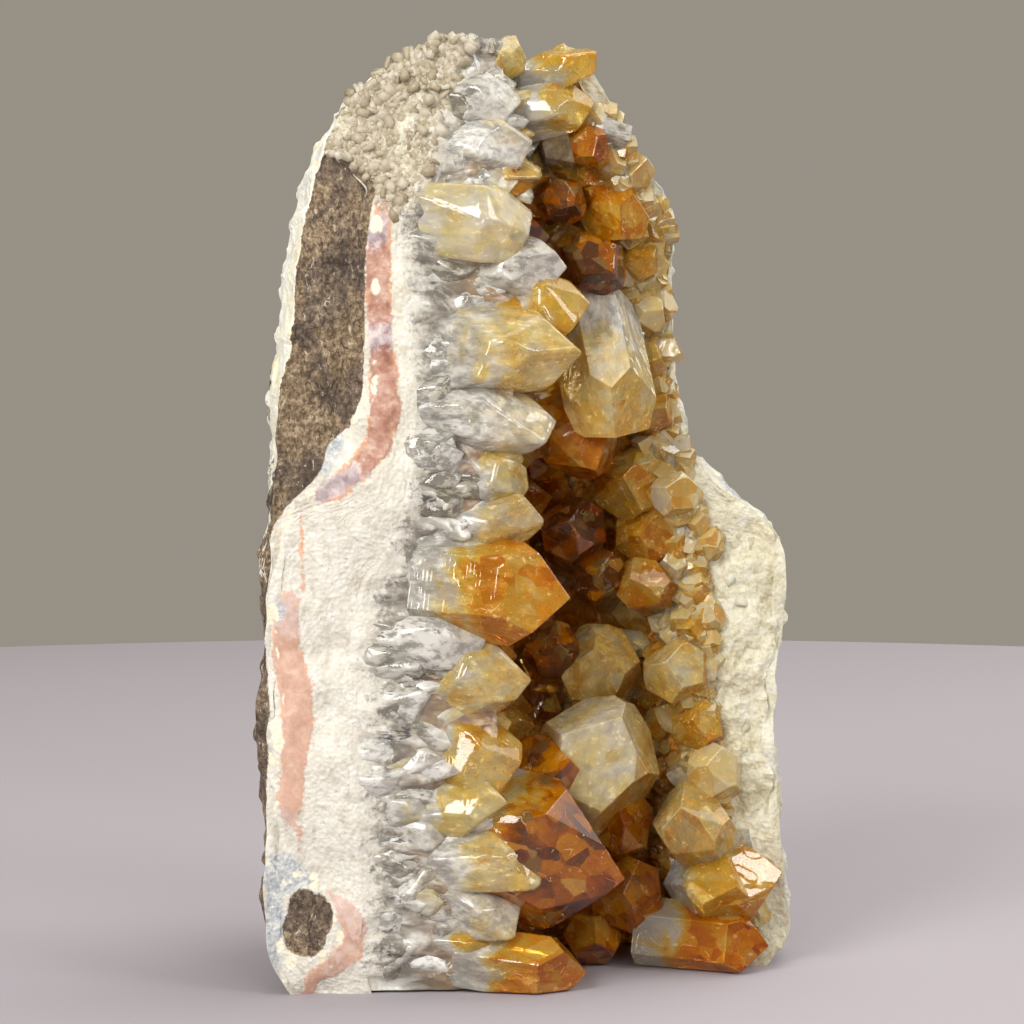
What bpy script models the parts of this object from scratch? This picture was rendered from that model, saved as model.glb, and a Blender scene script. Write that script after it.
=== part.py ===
"""Citrine cluster: a fragment of a geode's wall that stands upright on its sawn base.

Three minerals grew on each other, and each is one solid. Basalt is the rind on the outside, banded agate
and white quartz are the wall, and citrine crystals cover the hollow and run through the broken left end.

The drawing is in millimetres and the solids are in metres, +Z up. The broken end that shows the bands
looks along -Y, and the hollow opens towards -Y and +X. The origin is on the base, in the middle of the
object's box.
"""

import itertools
import math
import random
from collections import namedtuple

import bmesh
import bpy
import numpy as np
from mathutils import Vector, noise

MM = 0.001
SEED = 11

# The middle of the object's box, in the drawing.
MIDDLE_X = 2.55
MIDDLE_Y = -1.9

# Plans of the fragment at rising heights, in mm. left, right, front and back bound the outside, and arm is
# how far forward the right end reaches. bulge is how far the skin swells past the left end behind it. band
# and lip are the wall's width at its left and right ends, and hollow is the depth of its inner face. The
# bed that the crystals stand on has its own left, back and right.
Plan = namedtuple("Plan", "z left right front back arm bulge band lip hollow bed_left bed_back bed_right")
PLANS = [
    Plan(0, -32.5, 40.0, -29, 27, -8, 1.0, 10.5, 4.5, 14, -3, 7, 32),
    Plan(4, -35.0, 42.5, -30, 29, -8, 1.0, 12.5, 4.5, 15, -3, 7, 34),
    Plan(12, -36.2, 42.5, -31, 31, -8, 0.8, 13.5, 5.5, 15, -2, 7, 33),
    Plan(26, -36.6, 41.3, -31, 32, -8, 0.6, 13.5, 9.0, 15, -2, 7, 29),
    Plan(45, -37.0, 41.0, -31, 32, -7, 0.6, 13.5, 11.5, 15, -3, 6, 26),
    Plan(58, -36.4, 41.8, -31, 31, -6, 0.8, 14.5, 11.0, 14, -4, 6, 26),
    Plan(66, -35.8, 41.0, -31, 30, -5, 1.0, 18.0, 9.5, 14, -4, 6, 25),
    Plan(74, -35.2, 33.0, -31, 29, -4, 1.2, 20.0, 7.0, 13, -3, 5, 23),
    Plan(84, -34.2, 26.5, -30, 27, -3, 2.0, 20.5, 4.0, 12, -1, 4, 20),
    Plan(98, -32.0, 24.6, -29, 25, -2, 3.5, 16.5, 3.5, 10, 0, 1, 19),
    Plan(114, -29.5, 24.2, -27, 22, -3, 3.5, 13.0, 3.5, 7, 0, -3, 18),
    Plan(124, -27.6, 23.0, -25, 18, -6, 3.5, 15.0, 4.0, 2, 0, -7, 16),
    Plan(132, -24.0, 17.0, -23, 13, -11, 2.0, 14.0, 3.0, -3, -1, -10, 13),
    Plan(138, -17.2, 13.3, -21, 8, -14, 1.0, 8.5, 2.5, -7, -1, -12, 10),
    Plan(142, -11.5, 10.5, -20, 3, -16, 0.5, 5.0, 2.0, -10, -1, -13, 8),
]
LOWEST, HIGHEST = PLANS[0].z, PLANS[-1].z

# The lines in each plan turn at these shares of their width and depth, first back along the left and across,
# then forward on the right. The wall's right side is square to its back, and the bed's slopes.
ALONG_LEFT = ((0, 0), (0, 0.27), (0.05, 0.7), (0.2, 0.93), (0.52, 1))
SQUARE_RIGHT = ((0.9, 0.2), (1, 0.55), (1, 1))
SLOPING_RIGHT = ((0.76, 0.2), (0.91, 0.58), (1, 1))

# At the left end the bed starts this far behind the wall's front, and at the right end it reaches at least
# this far in front of its own back, in mm.
BED_STEP = 2
BED_LIP = 4

# The top leans back: above TOP_START each point drops by up to TOP_SLOPE mm for each mm behind the front.
TOP_START = 100
TOP_SLOPE = 0.45

# The rind is this share of the wall's thickness: at the broken left end over a range of heights, at that
# end elsewhere, round the back, and at the right end.
RIND_PATCH, RIND_THIN, RIND_BACK, RIND_RIGHT = 0.54, 0.13, 0.3, 0.12
PATCH_LOW, PATCH_HIGH, PATCH_FADE = 75, 119, 5

# Broken stone swells and dips by these amounts over these distances, in mm. Near the base it only shifts
# sideways, so that the sawn face stays flat.
SWELLS = ((1.3, 15.0), (0.6, 5.5))
SWELL_OFFSETS = ((3.7, 0.4, 8.1), (0.9, 6.3, 2.2), (5.2, 1.8, 4.6))
FLAT_BELOW = 7.0

# Touching solids keep this gap, and the crystals stop this far above the base.
GAP = 0.3
FOOT_GAP = 0.3

# One step of u beyond either end runs this far forwards, in mm.
RUN_ON = 100.0

# Cells of each solid's lattice round the hollow, through the thickness and up.
RIND_CELLS = (15, 1, 15)
WALL_CELLS = (15, 2, 15)
BED_CELLS = (12, 1, 12)

# A quartz point has six sides and six tip faces. A tip face's normal leans this far off the long axis.
TIP_LEAN = math.radians(51.8)
SIDE_VARIATION = 0.12
MINOR_FACE_STEP = (0.12, 0.5)

# The larger points, as the photograph places them: where the tip is, where the root is, and the radius.
Point = namedtuple("Point", "tip root radius")
LARGE_POINTS = [
    # Left end, from the top down
    Point((13.3, -20, 140.5), (1.0, -17, 138.5), 3.1),
    Point((5.0, -20, 142.5), (-4.0, -16, 135.0), 2.6),
    Point((-4.5, -21, 141.5), (-8.0, -17, 133.0), 3.0),
    Point((13.4, -20, 133.2), (1.0, -17, 132.5), 3.8),
    Point((2.0, -25, 133.0), (-10.0, -19, 131.0), 3.8),
    Point((3.5, -26, 125.5), (-9.0, -20, 124.5), 4.2),
    Point((4.3, -30, 113.0), (-14.0, -24, 115.0), 5.3),
    Point((2.5, -27, 118.5), (-9.0, -20, 119.5), 3.6),
    Point((9.0, -28, 107.8), (-8.0, -23, 107.5), 4.2),
    Point((11.9, -28, 101.8), (-2.0, -21, 102.8), 4.4),
    Point((10.6, -32, 94.8), (-13.0, -25, 95.8), 6.4),
    Point((7.4, -31, 84.4), (-12.0, -25, 85.0), 5.4),
    Point((4.3, -31, 75.4), (-8.0, -26, 77.0), 3.4),
    Point((5.9, -31, 70.0), (-12.0, -25, 69.8), 4.4),
    Point((8.6, -33, 59.3), (-13.0, -25, 60.6), 6.8),
    Point((-3.0, -32, 52.5), (-18.0, -26, 54.5), 4.8),
    Point((3.4, -31, 46.6), (-14.0, -25, 46.8), 5.8),
    Point((2.6, -31, 36.2), (-14.0, -25, 35.0), 5.6),
    Point((0.2, -32, 28.2), (-15.0, -26, 27.6), 4.6),
    Point((7.0, -34, 21.4), (-11.0, -27, 19.4), 4.4),
    Point((2.8, -32, 12.8), (-12.0, -26, 12.6), 4.2),
    Point((11.2, -27, 2.8), (-8.0, -24, 5.0), 4.8),
    Point((16.8, -29, 17.2), (-4.0, -19, 21.0), 10.2),
    # Behind them, in the hollow
    Point((15.3, -25, 82.4), (12.0, -6, 101.0), 6.4),
    Point((12.6, -21, 77.4), (7.0, -5, 88.0), 5.4),
    Point((16.5, -15, 112.0), (14.0, -1, 123.0), 4.4),
    Point((15.2, -19, 107.0), (9.5, -5, 110.5), 4.0),
    Point((12.0, -21, 124.2), (11.0, -9, 129.0), 2.6),
    Point((9.5, -20, 117.0), (5.0, -9, 118.5), 3.4),
    Point((8.6, -14, 69.5), (10.6, 4, 63.0), 4.6),
    Point((17.0, -11, 76.0), (21.0, 6, 72.0), 5.2),
    Point((19.5, -11, 67.0), (23.0, 4, 66.0), 4.6),
    Point((23.5, -12, 74.4), (27.0, 0, 71.0), 3.2),
    Point((18.0, -12, 60.5), (24.0, 2, 57.0), 4.0),
    Point((13.5, -12, 62.0), (14.0, 4, 58.0), 3.8),
    Point((7.0, -15, 51.0), (5.0, 2, 46.0), 4.2),
    Point((12.6, -14, 50.0), (14.0, 4, 42.0), 5.6),
    Point((23.4, -15, 48.0), (28.0, -1, 43.0), 4.6),
    Point((16.4, -23, 40.6), (9.5, -3, 25.0), 8.6),
    Point((8.8, -23, 34.0), (0.0, -9, 26.0), 5.8),
    Point((27.5, -13, 39.0), (31.0, 0, 35.0), 3.6),
    Point((25.4, -20, 26.5), (30.5, -5, 18.0), 5.4),
    Point((29.5, -17, 32.5), (32.5, -4, 28.0), 3.8),
    Point((41.6, -13, 15.4), (30.0, -7, 11.5), 5.4),
    Point((34.0, -18, 14.0), (29.0, -4, 12.0), 5.2),
    Point((39.4, -14, 4.2), (20.0, -7, 5.0), 4.9),
    Point((17.0, -15, 12.5), (19.0, 4, 8.0), 5.4),
    Point((16.5, -13, 25.0), (17.0, 4, 18.0), 5.0),
    Point((13.0, -14, 4.5), (12.0, 2, 4.0), 4.0),
    # The right end's rim, from the top down
    Point((20.6, -11, 124.5), (16.5, -5, 120.0), 2.8),
    Point((22.5, -8, 118.0), (17.5, -2, 116.0), 2.5),
    Point((21.6, -9, 109.5), (17.5, -1, 108.0), 2.8),
    Point((23.2, -8, 101.5), (18.0, 0, 100.0), 2.7),
    Point((22.8, -8, 94.0), (18.5, 0, 92.5), 2.9),
    Point((23.6, -9, 86.5), (19.5, 0, 84.0), 2.8),
]

# Smaller points cover the rest of the bed in staggered rows. Each leaves the bed square to it, leaning up
# a little, and its radius and its height above the bed vary. They shrink towards the right end.
ROW_STEP = 8.4
POINT_STEP = 7.8
FIRST_ROW, LAST_ROW = 5, 136
SPREAD = 0.24
UPWARD = 0.12
FILL_RADIUS = (2.7, 4.4)
FILL_HEIGHT = (1.0, 1.9)
ROOT_DEPTH = 4.5
RIGHT_END_SIZE = 0.72

# A smaller point is left out where its tip is within this share of a large one's radius from its axis.
HIDING = 1.0


def between(low, high, x):
    """0 below low, 1 above high and an even S between them."""
    t = min(1.0, max(0.0, (x - low) / (high - low)))
    return t * t * (3 - 2 * t)


def through(values, positions, x):
    """The value at x of a smooth curve through values, each a number or a Vector, at rising positions."""
    last = len(positions) - 1
    i = min(last - 1, max(0, int(np.searchsorted(positions, x)) - 1))
    t = (x - positions[i]) / (positions[i + 1] - positions[i])
    low, high = values[i], values[i + 1]
    span = positions[i + 1] - positions[i]
    before, after = max(0, i - 1), min(last, i + 2)
    slope_low = (high - values[before]) / (positions[i + 1] - positions[before]) * span
    slope_high = (values[after] - low) / (positions[after] - positions[i]) * span
    return (
        low * (2 * t**3 - 3 * t**2 + 1)
        + slope_low * (t**3 - 2 * t**2 + t)
        + high * (3 * t**2 - 2 * t**3)
        + slope_high * (t**3 - t**2)
    )


def plan_at(z):
    heights = [plan.z for plan in PLANS]
    columns = zip(*PLANS)
    return Plan(*(float(through(column, heights, z)) for column in columns))


def bay(left, right, front, back, arm, along_right, bulge=0.0):
    """A line in plan round three sides of the hollow: back along the left, across, and forward to arm on the
    right. Each corner point is a share of the line's own width and depth."""
    width, depth, reach = right - left, back - front, back - arm
    line = [Vector((left + a * width, front + b * depth)) for a, b in ALONG_LEFT]
    line += [Vector((left + a * width, back - b * reach)) for a, b in along_right]
    line[1].x -= bulge
    return line


def plan_lines(p):
    """The outside, the wall's inner face and the bed's face in plan, each from the left end to the right."""
    bed_arm = min(p.arm, p.bed_back - BED_LIP)
    return (
        bay(p.left, p.right, p.front, p.back, p.arm, SQUARE_RIGHT, p.bulge),
        bay(p.left + p.band, p.right - p.lip, p.front, p.hollow, p.arm, SQUARE_RIGHT),
        bay(p.bed_left, p.bed_right, p.front + BED_STEP, p.bed_back, bed_arm, SLOPING_RIGHT),
    )


def swell(p):
    """Moves a point by the stone's own unevenness."""
    moved = p.copy()
    for amount, distance in SWELLS:
        spot = p / distance
        moved += Vector([noise.noise(spot + Vector(offset)) for offset in SWELL_OFFSETS]) * amount
    held = between(0, FLAT_BELOW, p.z)
    moved.z = p.z + (moved.z - p.z) * held
    return moved


def place(u, s, z):
    """A point of the fragment in the drawing. u runs from the left end round the hollow to the right end, s
    from the outside (0) to the wall's inner face (1) and the bed's face (2), and z is a height. Beyond the
    ends and above the top, both ends run on forwards and the top runs on upwards."""
    inside = min(1.0, max(0.0, u))
    p = plan_at(min(z, HIGHEST))
    positions = [i / 7 for i in range(8)]
    outside, inner, bed = (through(line, positions, inside) for line in plan_lines(p))
    xy = outside.lerp(inner, s) if s <= 1 else inner.lerp(bed, s - 1)
    xy.y -= abs(u - inside) * RUN_ON
    lean = TOP_SLOPE * between(TOP_START, HIGHEST, z) * (xy.y - p.front)
    return swell(Vector((xy.x, xy.y, z - lean)))


def rind_share(u, z):
    """The share of the wall's thickness that is rind."""
    patch = between(PATCH_LOW - PATCH_FADE, PATCH_LOW, z) - between(PATCH_HIGH, PATCH_HIGH + PATCH_FADE, z)
    left = RIND_THIN + (RIND_PATCH - RIND_THIN) * patch
    back = left + (RIND_BACK - left) * between(0.0, 0.25, u)
    return back + (RIND_RIGHT - back) * between(0.7, 1.0, u)


def thickness(u, z, low, high):
    """How far apart the points at s = low and s = high are, in mm."""
    return (place(u, high, z) - place(u, low, z)).length


def lattice(name, cells, s_range, run_on=0.0):
    """A closed solid between two values of s, each a number or a function of u and z. Its surface is the
    outside of a lattice of cells, so its ends and its top follow the fragment too. A cutter gets one more
    cell at each end and at the top, which runs on by run_on mm."""
    across, through_wall, up = cells
    u_values = [i / across for i in range(across + 1)]
    z_values = [LOWEST + (HIGHEST - LOWEST) * k / up for k in range(up + 1)]
    if run_on:
        u_values = [-run_on / RUN_ON, *u_values, 1 + run_on / RUN_ON]
        z_values.append(HIGHEST + run_on)
    counts = len(u_values) - 1, through_wall, len(z_values) - 1
    mesh = bmesh.new()
    corners = {}

    def corner(i, j, k):
        if (i, j, k) not in corners:
            u, z = u_values[i], z_values[k]
            low, high = (s(u, z) if callable(s) else s for s in s_range)
            s = low + (high - low) * j / through_wall
            corners[i, j, k] = mesh.verts.new((place(u, s, z) - Vector((MIDDLE_X, MIDDLE_Y, 0))) * MM)
        return corners[i, j, k]

    def side(fixed, at, reverse):
        """One side of the lattice: the cells' faces where the index number fixed equals at."""
        a, b = (axis for axis in range(3) if axis != fixed)
        for m, n in itertools.product(range(counts[a]), range(counts[b])):
            quad = []
            for da, db in ((0, 0), (1, 0), (1, 1), (0, 1)):
                index = [at, at, at]
                index[a], index[b] = m + da, n + db
                quad.append(corner(*index))
            first, second = (quad[0], quad[1], quad[2]), (quad[0], quad[2], quad[3])
            for triangle in (first, second):
                mesh.faces.new(triangle[::-1] if reverse else triangle)

    for axis in range(3):
        side(axis, 0, False)
        side(axis, counts[axis], True)
    bmesh.ops.recalc_face_normals(mesh, faces=mesh.faces)
    return as_object(name, mesh)


def as_object(name, mesh):
    data = bpy.data.meshes.new(name)
    mesh.to_mesh(data)
    mesh.free()
    made = bpy.data.objects.new(name, data)
    bpy.context.scene.collection.objects.link(made)
    return made


def helper(made):
    """Marks an object that only cuts or joins others."""
    made.hide_render = True
    made.display_type = "WIRE"
    return made


def corners_inside(normals, offsets):
    """The corners of the convex solid of points x with normal . x <= offset for every plane."""
    picks = np.array(list(itertools.combinations(range(len(normals)), 3)))
    sets, sides = normals[picks], offsets[picks]
    solvable = np.abs(np.linalg.det(sets)) > 1e-6
    points = np.linalg.solve(sets[solvable], sides[solvable][..., None])[..., 0]
    inside = (points @ normals.T <= offsets + 1e-7).all(axis=1)
    return np.unique(np.round(points[inside], 5), axis=0)


def quartz_point(mesh, point, chance):
    """Adds one crystal: six sides at slightly uneven distances, three large tip faces that meet at the tip
    and three smaller ones between them."""
    tip, root = Vector(point.tip), Vector(point.root)
    axis = (tip - root).normalized()
    across = axis.orthogonal().normalized()
    other = axis.cross(across)
    turn = chance.uniform(0, math.tau / 6)
    normals, offsets = [-axis], [-axis.dot(root)]
    for k in range(6):
        angle = turn + k * math.tau / 6
        out = across * math.cos(angle) + other * math.sin(angle)
        normals.append(out)
        uneven = chance.uniform(1 - SIDE_VARIATION, 1 + SIDE_VARIATION)
        offsets.append(out.dot(tip) + point.radius * uneven)
        lean = out * math.sin(TIP_LEAN) + axis * math.cos(TIP_LEAN)
        step = point.radius * chance.uniform(*MINOR_FACE_STEP) if k % 2 else 0.0
        normals.append(lean)
        offsets.append(lean.dot(tip) + step)
    corners = corners_inside(np.array(normals), np.array(offsets))
    verts = [mesh.verts.new((Vector(c) - Vector((MIDDLE_X, MIDDLE_Y, 0))) * MM) for c in corners]
    hull = bmesh.ops.convex_hull(mesh, input=verts)["geom"]
    edges = [item for item in hull if isinstance(item, bmesh.types.BMEdge)]
    bmesh.ops.dissolve_limit(mesh, angle_limit=math.radians(0.2), verts=verts, edges=edges)


def hidden(spot):
    """Whether a spot is inside one of the large points, or nearly."""
    for point in LARGE_POINTS:
        tip, root = Vector(point.tip), Vector(point.root)
        along = min(1.0, max(0.0, (spot - root).dot(tip - root) / (tip - root).length_squared))
        if (root.lerp(tip, along) - spot).length < point.radius * HIDING:
            return True
    return False


def fill_points(chance):
    """The smaller points, in staggered rows over the bed's face."""
    found = []
    z = FIRST_ROW
    row = 0
    while z <= LAST_ROW:
        line = [place(i / 60, 2, z) for i in range(61)]
        reach = sum((b - a).length for a, b in zip(line, line[1:]))
        count = max(2, int(reach / POINT_STEP))
        for i in range(count):
            u = (i + 0.5 * (row % 2) + chance.uniform(-SPREAD, SPREAD) + 0.25) / count
            u = min(0.99, max(0.02, u))
            height = z + chance.uniform(-SPREAD, SPREAD) * ROW_STEP
            foot = place(u, 2, height)
            along = place(min(1, u + 0.02), 2, height) - place(max(0, u - 0.02), 2, height)
            out = Vector((along.y, -along.x, 0)).normalized()
            tilt = Vector([chance.uniform(-SPREAD, SPREAD) for _ in range(3)])
            out = (out + tilt + Vector((0, 0, UPWARD))).normalized()
            size = 1 + (RIGHT_END_SIZE - 1) * between(0.4, 0.9, u)
            radius = chance.uniform(*FILL_RADIUS) * size
            tip = foot + out * radius * chance.uniform(*FILL_HEIGHT)
            if not hidden(tip):
                found.append(Point(tip, foot - out * ROOT_DEPTH, radius))
        z += ROW_STEP
        row += 1
    return found


def boolean(made, operation, other, own_overlaps=False):
    cut = made.modifiers.new(f"{operation.lower()} {other.name}", "BOOLEAN")
    cut.operation = operation
    cut.object = other
    cut.solver = "EXACT"
    cut.use_self = own_overlaps


def keep_main_body(made):
    """Applies an object's modifiers and keeps only its largest surface, so that pockets closed in between
    crystals are filled and chips that a cut set free are gone."""
    mesh = bmesh.new()
    mesh.from_object(made, bpy.context.evaluated_depsgraph_get())
    unseen = set(mesh.verts)
    bodies = []
    while unseen:
        edge = [unseen.pop()]
        body = []
        while edge:
            vert = edge.pop()
            body.append(vert)
            found = {link.other_vert(vert) for link in vert.link_edges} & unseen
            unseen -= found
            edge.extend(found)
        bodies.append(body)
    bodies.sort(key=len)
    bmesh.ops.delete(mesh, geom=[vert for body in bodies[:-1] for vert in body], context="VERTS")
    made.modifiers.clear()
    mesh.to_mesh(made.data)
    mesh.free()


def box(name, low, high):
    """A plain box between two corners in the drawing."""
    mesh = bmesh.new()
    bmesh.ops.create_cube(mesh, size=1)
    for vert in mesh.verts:
        for axis in range(3):
            vert.co[axis] = high[axis] if vert.co[axis] > 0 else low[axis]
        vert.co = (vert.co - Vector((MIDDLE_X, MIDDLE_Y, 0))) * MM
    return as_object(name, mesh)


def make_crust():
    """The crystals with the bed they share, cut back from the wall and from the base."""
    chance = random.Random(SEED)
    crust = lattice("citrine_crust", BED_CELLS, (0.9, 2))
    mesh = bmesh.new()
    for point in LARGE_POINTS + fill_points(chance):
        quartz_point(mesh, point, chance)
    points = helper(as_object("crystal_points", mesh))
    room = lambda u, z: 1 + GAP / thickness(u, z, 1, 2)
    wall_space = helper(lattice("wall_space", WALL_CELLS, (-0.4, room), run_on=8.0))
    floor = helper(box("floor_space", (-90, -90, -60), (90, 90, FOOT_GAP)))
    boolean(crust, "UNION", points, own_overlaps=True)
    boolean(crust, "DIFFERENCE", wall_space)
    boolean(crust, "DIFFERENCE", floor)
    keep_main_body(crust)
    return crust


def mineral(made, name, colour, roughness, transmission=0.0):
    material = bpy.data.materials.new(name)
    material.use_nodes = True
    shader = material.node_tree.nodes["Principled BSDF"]
    shader.inputs["Base Color"].default_value = (*colour, 1)
    shader.inputs["Roughness"].default_value = roughness
    shader.inputs["Transmission Weight"].default_value = transmission
    material.diffuse_color = (*colour, 1)
    made.data.materials.append(material)


def clear_scene():
    for old in list(bpy.data.objects):
        bpy.data.objects.remove(old)


def main():
    clear_scene()
    rind_inner = lambda u, z: rind_share(u, z) - GAP / 2 / thickness(u, z, 0, 1)
    wall_outer = lambda u, z: rind_share(u, z) + GAP / 2 / thickness(u, z, 0, 1)
    rind = lattice("basalt_rind", RIND_CELLS, (0, rind_inner))
    wall = lattice("quartz_wall", WALL_CELLS, (wall_outer, 1))
    crust = make_crust()
    mineral(rind, "basalt", (0.13, 0.09, 0.06), 0.85)
    mineral(wall, "agate and white quartz", (0.78, 0.66, 0.55), 0.5)
    mineral(crust, "citrine", (0.75, 0.4, 0.09), 0.12, transmission=0.7)


main()
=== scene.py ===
"""Citrine cluster, dressed: the rind, the wall and the crust of crystals get their real surfaces.

The fragment's shape and its large points repeat the ones in the CAD source, in the same drawing in mm,
apart from two points near the top that are turned a little. Each piece here hides the CAD node that it
stands for and is shown in its place.
"""

import itertools
import math
import random
from collections import namedtuple

import bmesh
import bpy
import numpy as np
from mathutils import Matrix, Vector, noise

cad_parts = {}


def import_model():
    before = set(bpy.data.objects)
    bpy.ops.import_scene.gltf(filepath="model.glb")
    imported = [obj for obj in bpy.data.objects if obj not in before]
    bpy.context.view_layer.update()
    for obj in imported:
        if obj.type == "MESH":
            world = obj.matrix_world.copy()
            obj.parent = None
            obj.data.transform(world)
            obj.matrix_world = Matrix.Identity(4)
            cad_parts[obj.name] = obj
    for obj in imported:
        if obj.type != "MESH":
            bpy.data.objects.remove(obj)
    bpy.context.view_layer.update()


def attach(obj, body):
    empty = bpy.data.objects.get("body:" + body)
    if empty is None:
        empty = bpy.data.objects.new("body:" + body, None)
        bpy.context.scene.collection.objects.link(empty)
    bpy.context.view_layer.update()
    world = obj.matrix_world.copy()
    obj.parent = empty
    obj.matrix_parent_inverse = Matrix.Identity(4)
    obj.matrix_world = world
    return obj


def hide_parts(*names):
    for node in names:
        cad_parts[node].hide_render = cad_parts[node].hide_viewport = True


MM = 0.001
SEED = 11

# The middle of the object's box, in the drawing.
MIDDLE = Vector((2.55, -1.9, 0))

# Plans of the fragment at rising heights, in mm, as in the CAD source.
Plan = namedtuple("Plan", "z left right front back arm bulge band lip hollow bed_left bed_back bed_right")
PLANS = [
    Plan(0, -32.5, 40.0, -29, 27, -8, 1.0, 10.5, 4.5, 14, -3, 7, 32),
    Plan(4, -35.0, 42.5, -30, 29, -8, 1.0, 12.5, 4.5, 15, -3, 7, 34),
    Plan(12, -36.2, 42.5, -31, 31, -8, 0.8, 13.5, 5.5, 15, -2, 7, 33),
    Plan(26, -36.6, 41.3, -31, 32, -8, 0.6, 13.5, 9.0, 15, -2, 7, 29),
    Plan(45, -37.0, 41.0, -31, 32, -7, 0.6, 13.5, 11.5, 15, -3, 6, 26),
    Plan(58, -36.4, 41.8, -31, 31, -6, 0.8, 14.5, 11.0, 14, -4, 6, 26),
    Plan(66, -35.8, 41.0, -31, 30, -5, 1.0, 18.0, 9.5, 14, -4, 6, 25),
    Plan(74, -35.2, 33.0, -31, 29, -4, 1.2, 20.0, 7.0, 13, -3, 5, 23),
    Plan(84, -34.2, 26.5, -30, 27, -3, 2.0, 20.5, 4.0, 12, -1, 4, 20),
    Plan(98, -32.0, 24.6, -29, 25, -2, 3.5, 16.5, 3.5, 10, 0, 1, 19),
    Plan(114, -29.5, 24.2, -27, 22, -3, 3.5, 13.0, 3.5, 7, 0, -3, 18),
    Plan(124, -27.6, 23.0, -25, 18, -6, 3.5, 15.0, 4.0, 2, 0, -7, 16),
    Plan(132, -24.0, 17.0, -23, 13, -11, 2.0, 14.0, 3.0, -3, -1, -10, 13),
    Plan(138, -17.2, 13.3, -21, 8, -14, 1.0, 8.5, 2.5, -7, -1, -12, 10),
    Plan(142, -11.5, 10.5, -20, 3, -16, 0.5, 5.0, 2.0, -10, -1, -13, 8),
]
LOWEST, HIGHEST = PLANS[0].z, PLANS[-1].z
ALONG_LEFT = ((0, 0), (0, 0.27), (0.05, 0.7), (0.2, 0.93), (0.52, 1))
SQUARE_RIGHT = ((0.9, 0.2), (1, 0.55), (1, 1))
SLOPING_RIGHT = ((0.76, 0.2), (0.91, 0.58), (1, 1))
BED_STEP = 2
BED_LIP = 4
TOP_START = 100
TOP_SLOPE = 0.45
RIND_PATCH, RIND_THIN, RIND_BACK, RIND_RIGHT = 0.54, 0.13, 0.3, 0.12
PATCH_LOW, PATCH_HIGH, PATCH_FADE = 75, 119, 5
SWELLS = ((1.3, 15.0), (0.6, 5.5))
SWELL_OFFSETS = ((3.7, 0.4, 8.1), (0.9, 6.3, 2.2), (5.2, 1.8, 4.6))
FLAT_BELOW = 7.0
TIP_LEAN = math.radians(51.8)
SIDE_VARIATION = 0.12
MINOR_FACE_STEP = (0.12, 0.5)

# How a crystal looks: hue runs from colourless to deep brown, milk from clear to opaque white and smoke
# from bright to sooty. start is how far along the crystal its colour sets in.
Look = namedtuple("Look", "hue milk smoke start")
LOOKS = {
    "grey": Look(0.12, 0.58, 0.34, 0.50),
    "smoky": Look(0.12, 0.46, 0.60, 0.50),
    "clear": Look(0.28, 0.50, 0.22, 0.34),
    "honey": Look(0.44, 0.42, 0.12, 0.20),
    "gold": Look(0.56, 0.30, 0.05, 0.20),
    "orange": Look(0.66, 0.34, 0.08, 0.12),
    "amber": Look(0.78, 0.12, 0.05, 0.05),
    "russet": Look(0.90, 0.06, 0.05, 0.05),
    "brown": Look(0.98, 0.08, 0.20, 0.00),
    "cream": Look(0.34, 0.52, 0.02, -0.10),
    "mauve": Look(0.42, 0.44, 0.06, 0.15),
    "yellow": Look(0.36, 0.68, 0.00, -0.40),
}

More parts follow.
